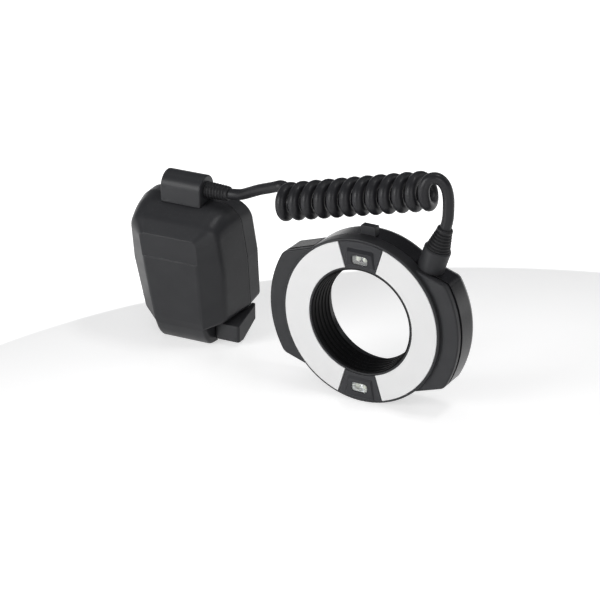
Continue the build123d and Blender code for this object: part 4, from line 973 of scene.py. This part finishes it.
def latch_coils():
    """Two wound springs that span the height of the latch's spring seat, carried with the latch."""
    seat = nodes["latch_springs"]
    heights = [(seat.matrix_world @ Vector(corner)).z for corner in seat.bound_box]
    low, high = min(heights), max(heights)
    curve = bpy.data.curves.new("latch_coil_line", "CURVE")
    curve.dimensions = "3D"
    curve.resolution_u = 3
    curve.bevel_depth = spring_wire * MM
    curve.bevel_resolution = 2
    for across in (-12.0, 12.0):
        middle = ring_point(across, 0, -19.45)
        spline = curve.splines.new("NURBS")
        spline.points.add(spring_steps)
        for i, point in enumerate(spline.points):
            turn = tau * i / steps_per_turn
            x = middle.x + spring_radius * MM * cos(turn)
            y = middle.y + spring_radius * MM * sin(turn)
            rise = high - low - 2 * spring_wire * MM
            point.co = (x, y, low + spring_wire * MM + rise * i / spring_steps, 1.0)
        spline.order_u = 3
        spline.use_endpoint_u = True
    line = bpy.data.objects.new("latch_coil_line", curve)
    bpy.context.collection.objects.link(line)
    graph = bpy.context.evaluated_depsgraph_get()
    wound = bpy.data.meshes.new_from_object(line.evaluated_get(graph))
    piece = bpy.data.objects.new("latch_coils", wound)
    bpy.context.collection.objects.link(piece)
    bpy.data.objects.remove(line)
    wear(piece, bare_steel)
    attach(piece, "latch")
    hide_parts("latch_springs")
    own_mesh(piece)


latch_coils()


# Floor, backdrop and light
def add_math(tree, operation, first, second):
    node = tree.nodes.new("ShaderNodeMath")
    node.operation = operation
    for index, value in ((0, first), (1, second)):
        if isinstance(value, (int, float)):
            node.inputs[index].default_value = value
        else:
            tree.links.new(value, node.inputs[index])
    return node.outputs["Value"]


def seen_directly(tree):
    """1 for rays from the camera, off gloss and through glass, which show the white studio."""
    path = tree.nodes.new("ShaderNodeLightPath")
    ray = path.outputs
    gloss = add_math(tree, "MAXIMUM", ray["Is Glossy Ray"], ray["Is Transmission Ray"])
    return add_math(tree, "MAXIMUM", ray["Is Camera Ray"], gloss)


def studio_world():
    """A white sweep behind the object under a darker ceiling."""
    world = bpy.data.worlds.new("studio world")
    bpy.context.scene.world = world
    world.use_nodes = True
    tree = world.node_tree
    sky = tree.nodes["Background"]
    sky.inputs["Color"].default_value = (0.65, 0.65, 0.655, 1.0)
    sky.inputs["Strength"].default_value = 0.24
    split = tree.nodes.new("ShaderNodeSeparateXYZ")
    view = tree.nodes.new("ShaderNodeTexCoord")
    tree.links.new(view.outputs["Generated"], split.inputs["Vector"])
    ceiling = ranged(tree, split.outputs["Z"], 0.0, 0.14, 0.0, 1.0)
    white = tree.nodes.new("ShaderNodeBackground")
    sweep = blend_colours(tree, ceiling, (1.0, 1.0, 1.0), (0.14, 0.142, 0.155))
    tree.links.new(sweep, white.inputs["Color"])
    mix = tree.nodes.new("ShaderNodeMixShader")
    tree.links.new(seen_directly(tree), mix.inputs["Fac"])
    tree.links.new(sky.outputs["Background"], mix.inputs[1])
    tree.links.new(white.outputs["Background"], mix.inputs[2])
    tree.links.new(mix.outputs["Shader"], tree.nodes["World Output"].inputs["Surface"])


def studio_floor():
    """A polished white table top with faint grey painted shade towards its far edge."""
    mesh = bmesh.new()
    bmesh.ops.create_grid(mesh, x_segments=8, y_segments=8, size=3.0)
    floor = to_object(mesh, "studio_floor")
    floor.location = (0.1, 0.0, -0.0002)
    material, tree, shader, place = start_material("studio floor white")
    texture = group_node(tree, moulded_grain, place, Grain_Scale=40.0, Mottle_Scale=0.8)
    far = tree.nodes.new("ShaderNodeVectorMath")
    far.operation = "DISTANCE"
    far.inputs[1].default_value = table_middle
    tree.links.new(place, far.inputs[0])
    edge_shade_mask = ranged(tree, far.outputs["Value"], table_radius - 0.09, table_radius, 0.0, 1.0)
    beyond = ranged(tree, far.outputs["Value"], table_radius, table_radius + 0.004, 0.0, 1.0)
    mottle = texture.outputs["Mottle"]
    white = blend_colours(tree, mottle, (0.80, 0.80, 0.80), (0.815, 0.815, 0.815))
    tree.links.new(white, shader.inputs["Base Color"])
    shader.inputs["Roughness"].default_value = 0.16
    shader.inputs["Specular IOR Level"].default_value = 0.7
    glow = tree.nodes.new("ShaderNodeEmission")
    # Painted shade: the floor's glow drops by 0.12 towards the table's far edge
    painted_edge_shade = ranged(tree, edge_shade_mask, 0.0, 1.0, table_glow, table_glow - 0.12)
    tree.links.new(ranged(tree, beyond, 0.0, 1.0, painted_edge_shade, 1.0), glow.inputs["Strength"])
    dark = tree.nodes.new("ShaderNodeEmission")
    dark.inputs["Strength"].default_value = 0.0
    pick = tree.nodes.new("ShaderNodeMixShader")
    tree.links.new(seen_directly(tree), pick.inputs["Fac"])
    tree.links.new(dark.outputs["Emission"], pick.inputs[1])
    tree.links.new(glow.outputs["Emission"], pick.inputs[2])
    both = tree.nodes.new("ShaderNodeAddShader")
    tree.links.new(shader.outputs["BSDF"], both.inputs[0])
    tree.links.new(pick.outputs["Shader"], both.inputs[1])
    tree.links.new(both.outputs["Shader"], tree.nodes["Material Output"].inputs["Surface"])
    floor.data.materials.append(material)


def softbox(name, place, aim, size, power):
    data = bpy.data.lights.new(name, "AREA")
    data.shape = "RECTANGLE"
    data.size, data.size_y = size
    data.energy = power
    lamp = bpy.data.objects.new(name, data)
    lamp.location = place
    lamp.rotation_euler = (Vector(aim) - Vector(place)).to_track_quat("-Z", "Y").to_euler()
    bpy.context.collection.objects.link(lamp)


table_middle = (0.2011, -0.2191, 0.0)
table_radius = 0.4243
table_glow = 0.57
studio_world()
studio_floor()
softbox("overhead softbox", (-0.1, 0.15, 1.25), (0.09, -0.03, 0.05), (1.1, 0.8), 1.4)
softbox("main softbox", (-0.6, -1.2, 0.5), (0.1, -0.03, 0.06), (0.8, 0.6), 12.0)
softbox("fill softbox", (0.95, -1.0, 0.5), (0.1, -0.03, 0.06), (0.6, 0.6), 3.8)
softbox("rim softbox", (0.9, 0.75, 0.75), (0.1, -0.03, 0.06), (0.4, 0.6), 1.2)
softbox("glint softbox", (0.48, 0.0, 1.0), (0.03, -0.01, 0.08), (0.24, 0.14), 1.6)
bpy.context.scene.view_settings.view_transform = "Standard"
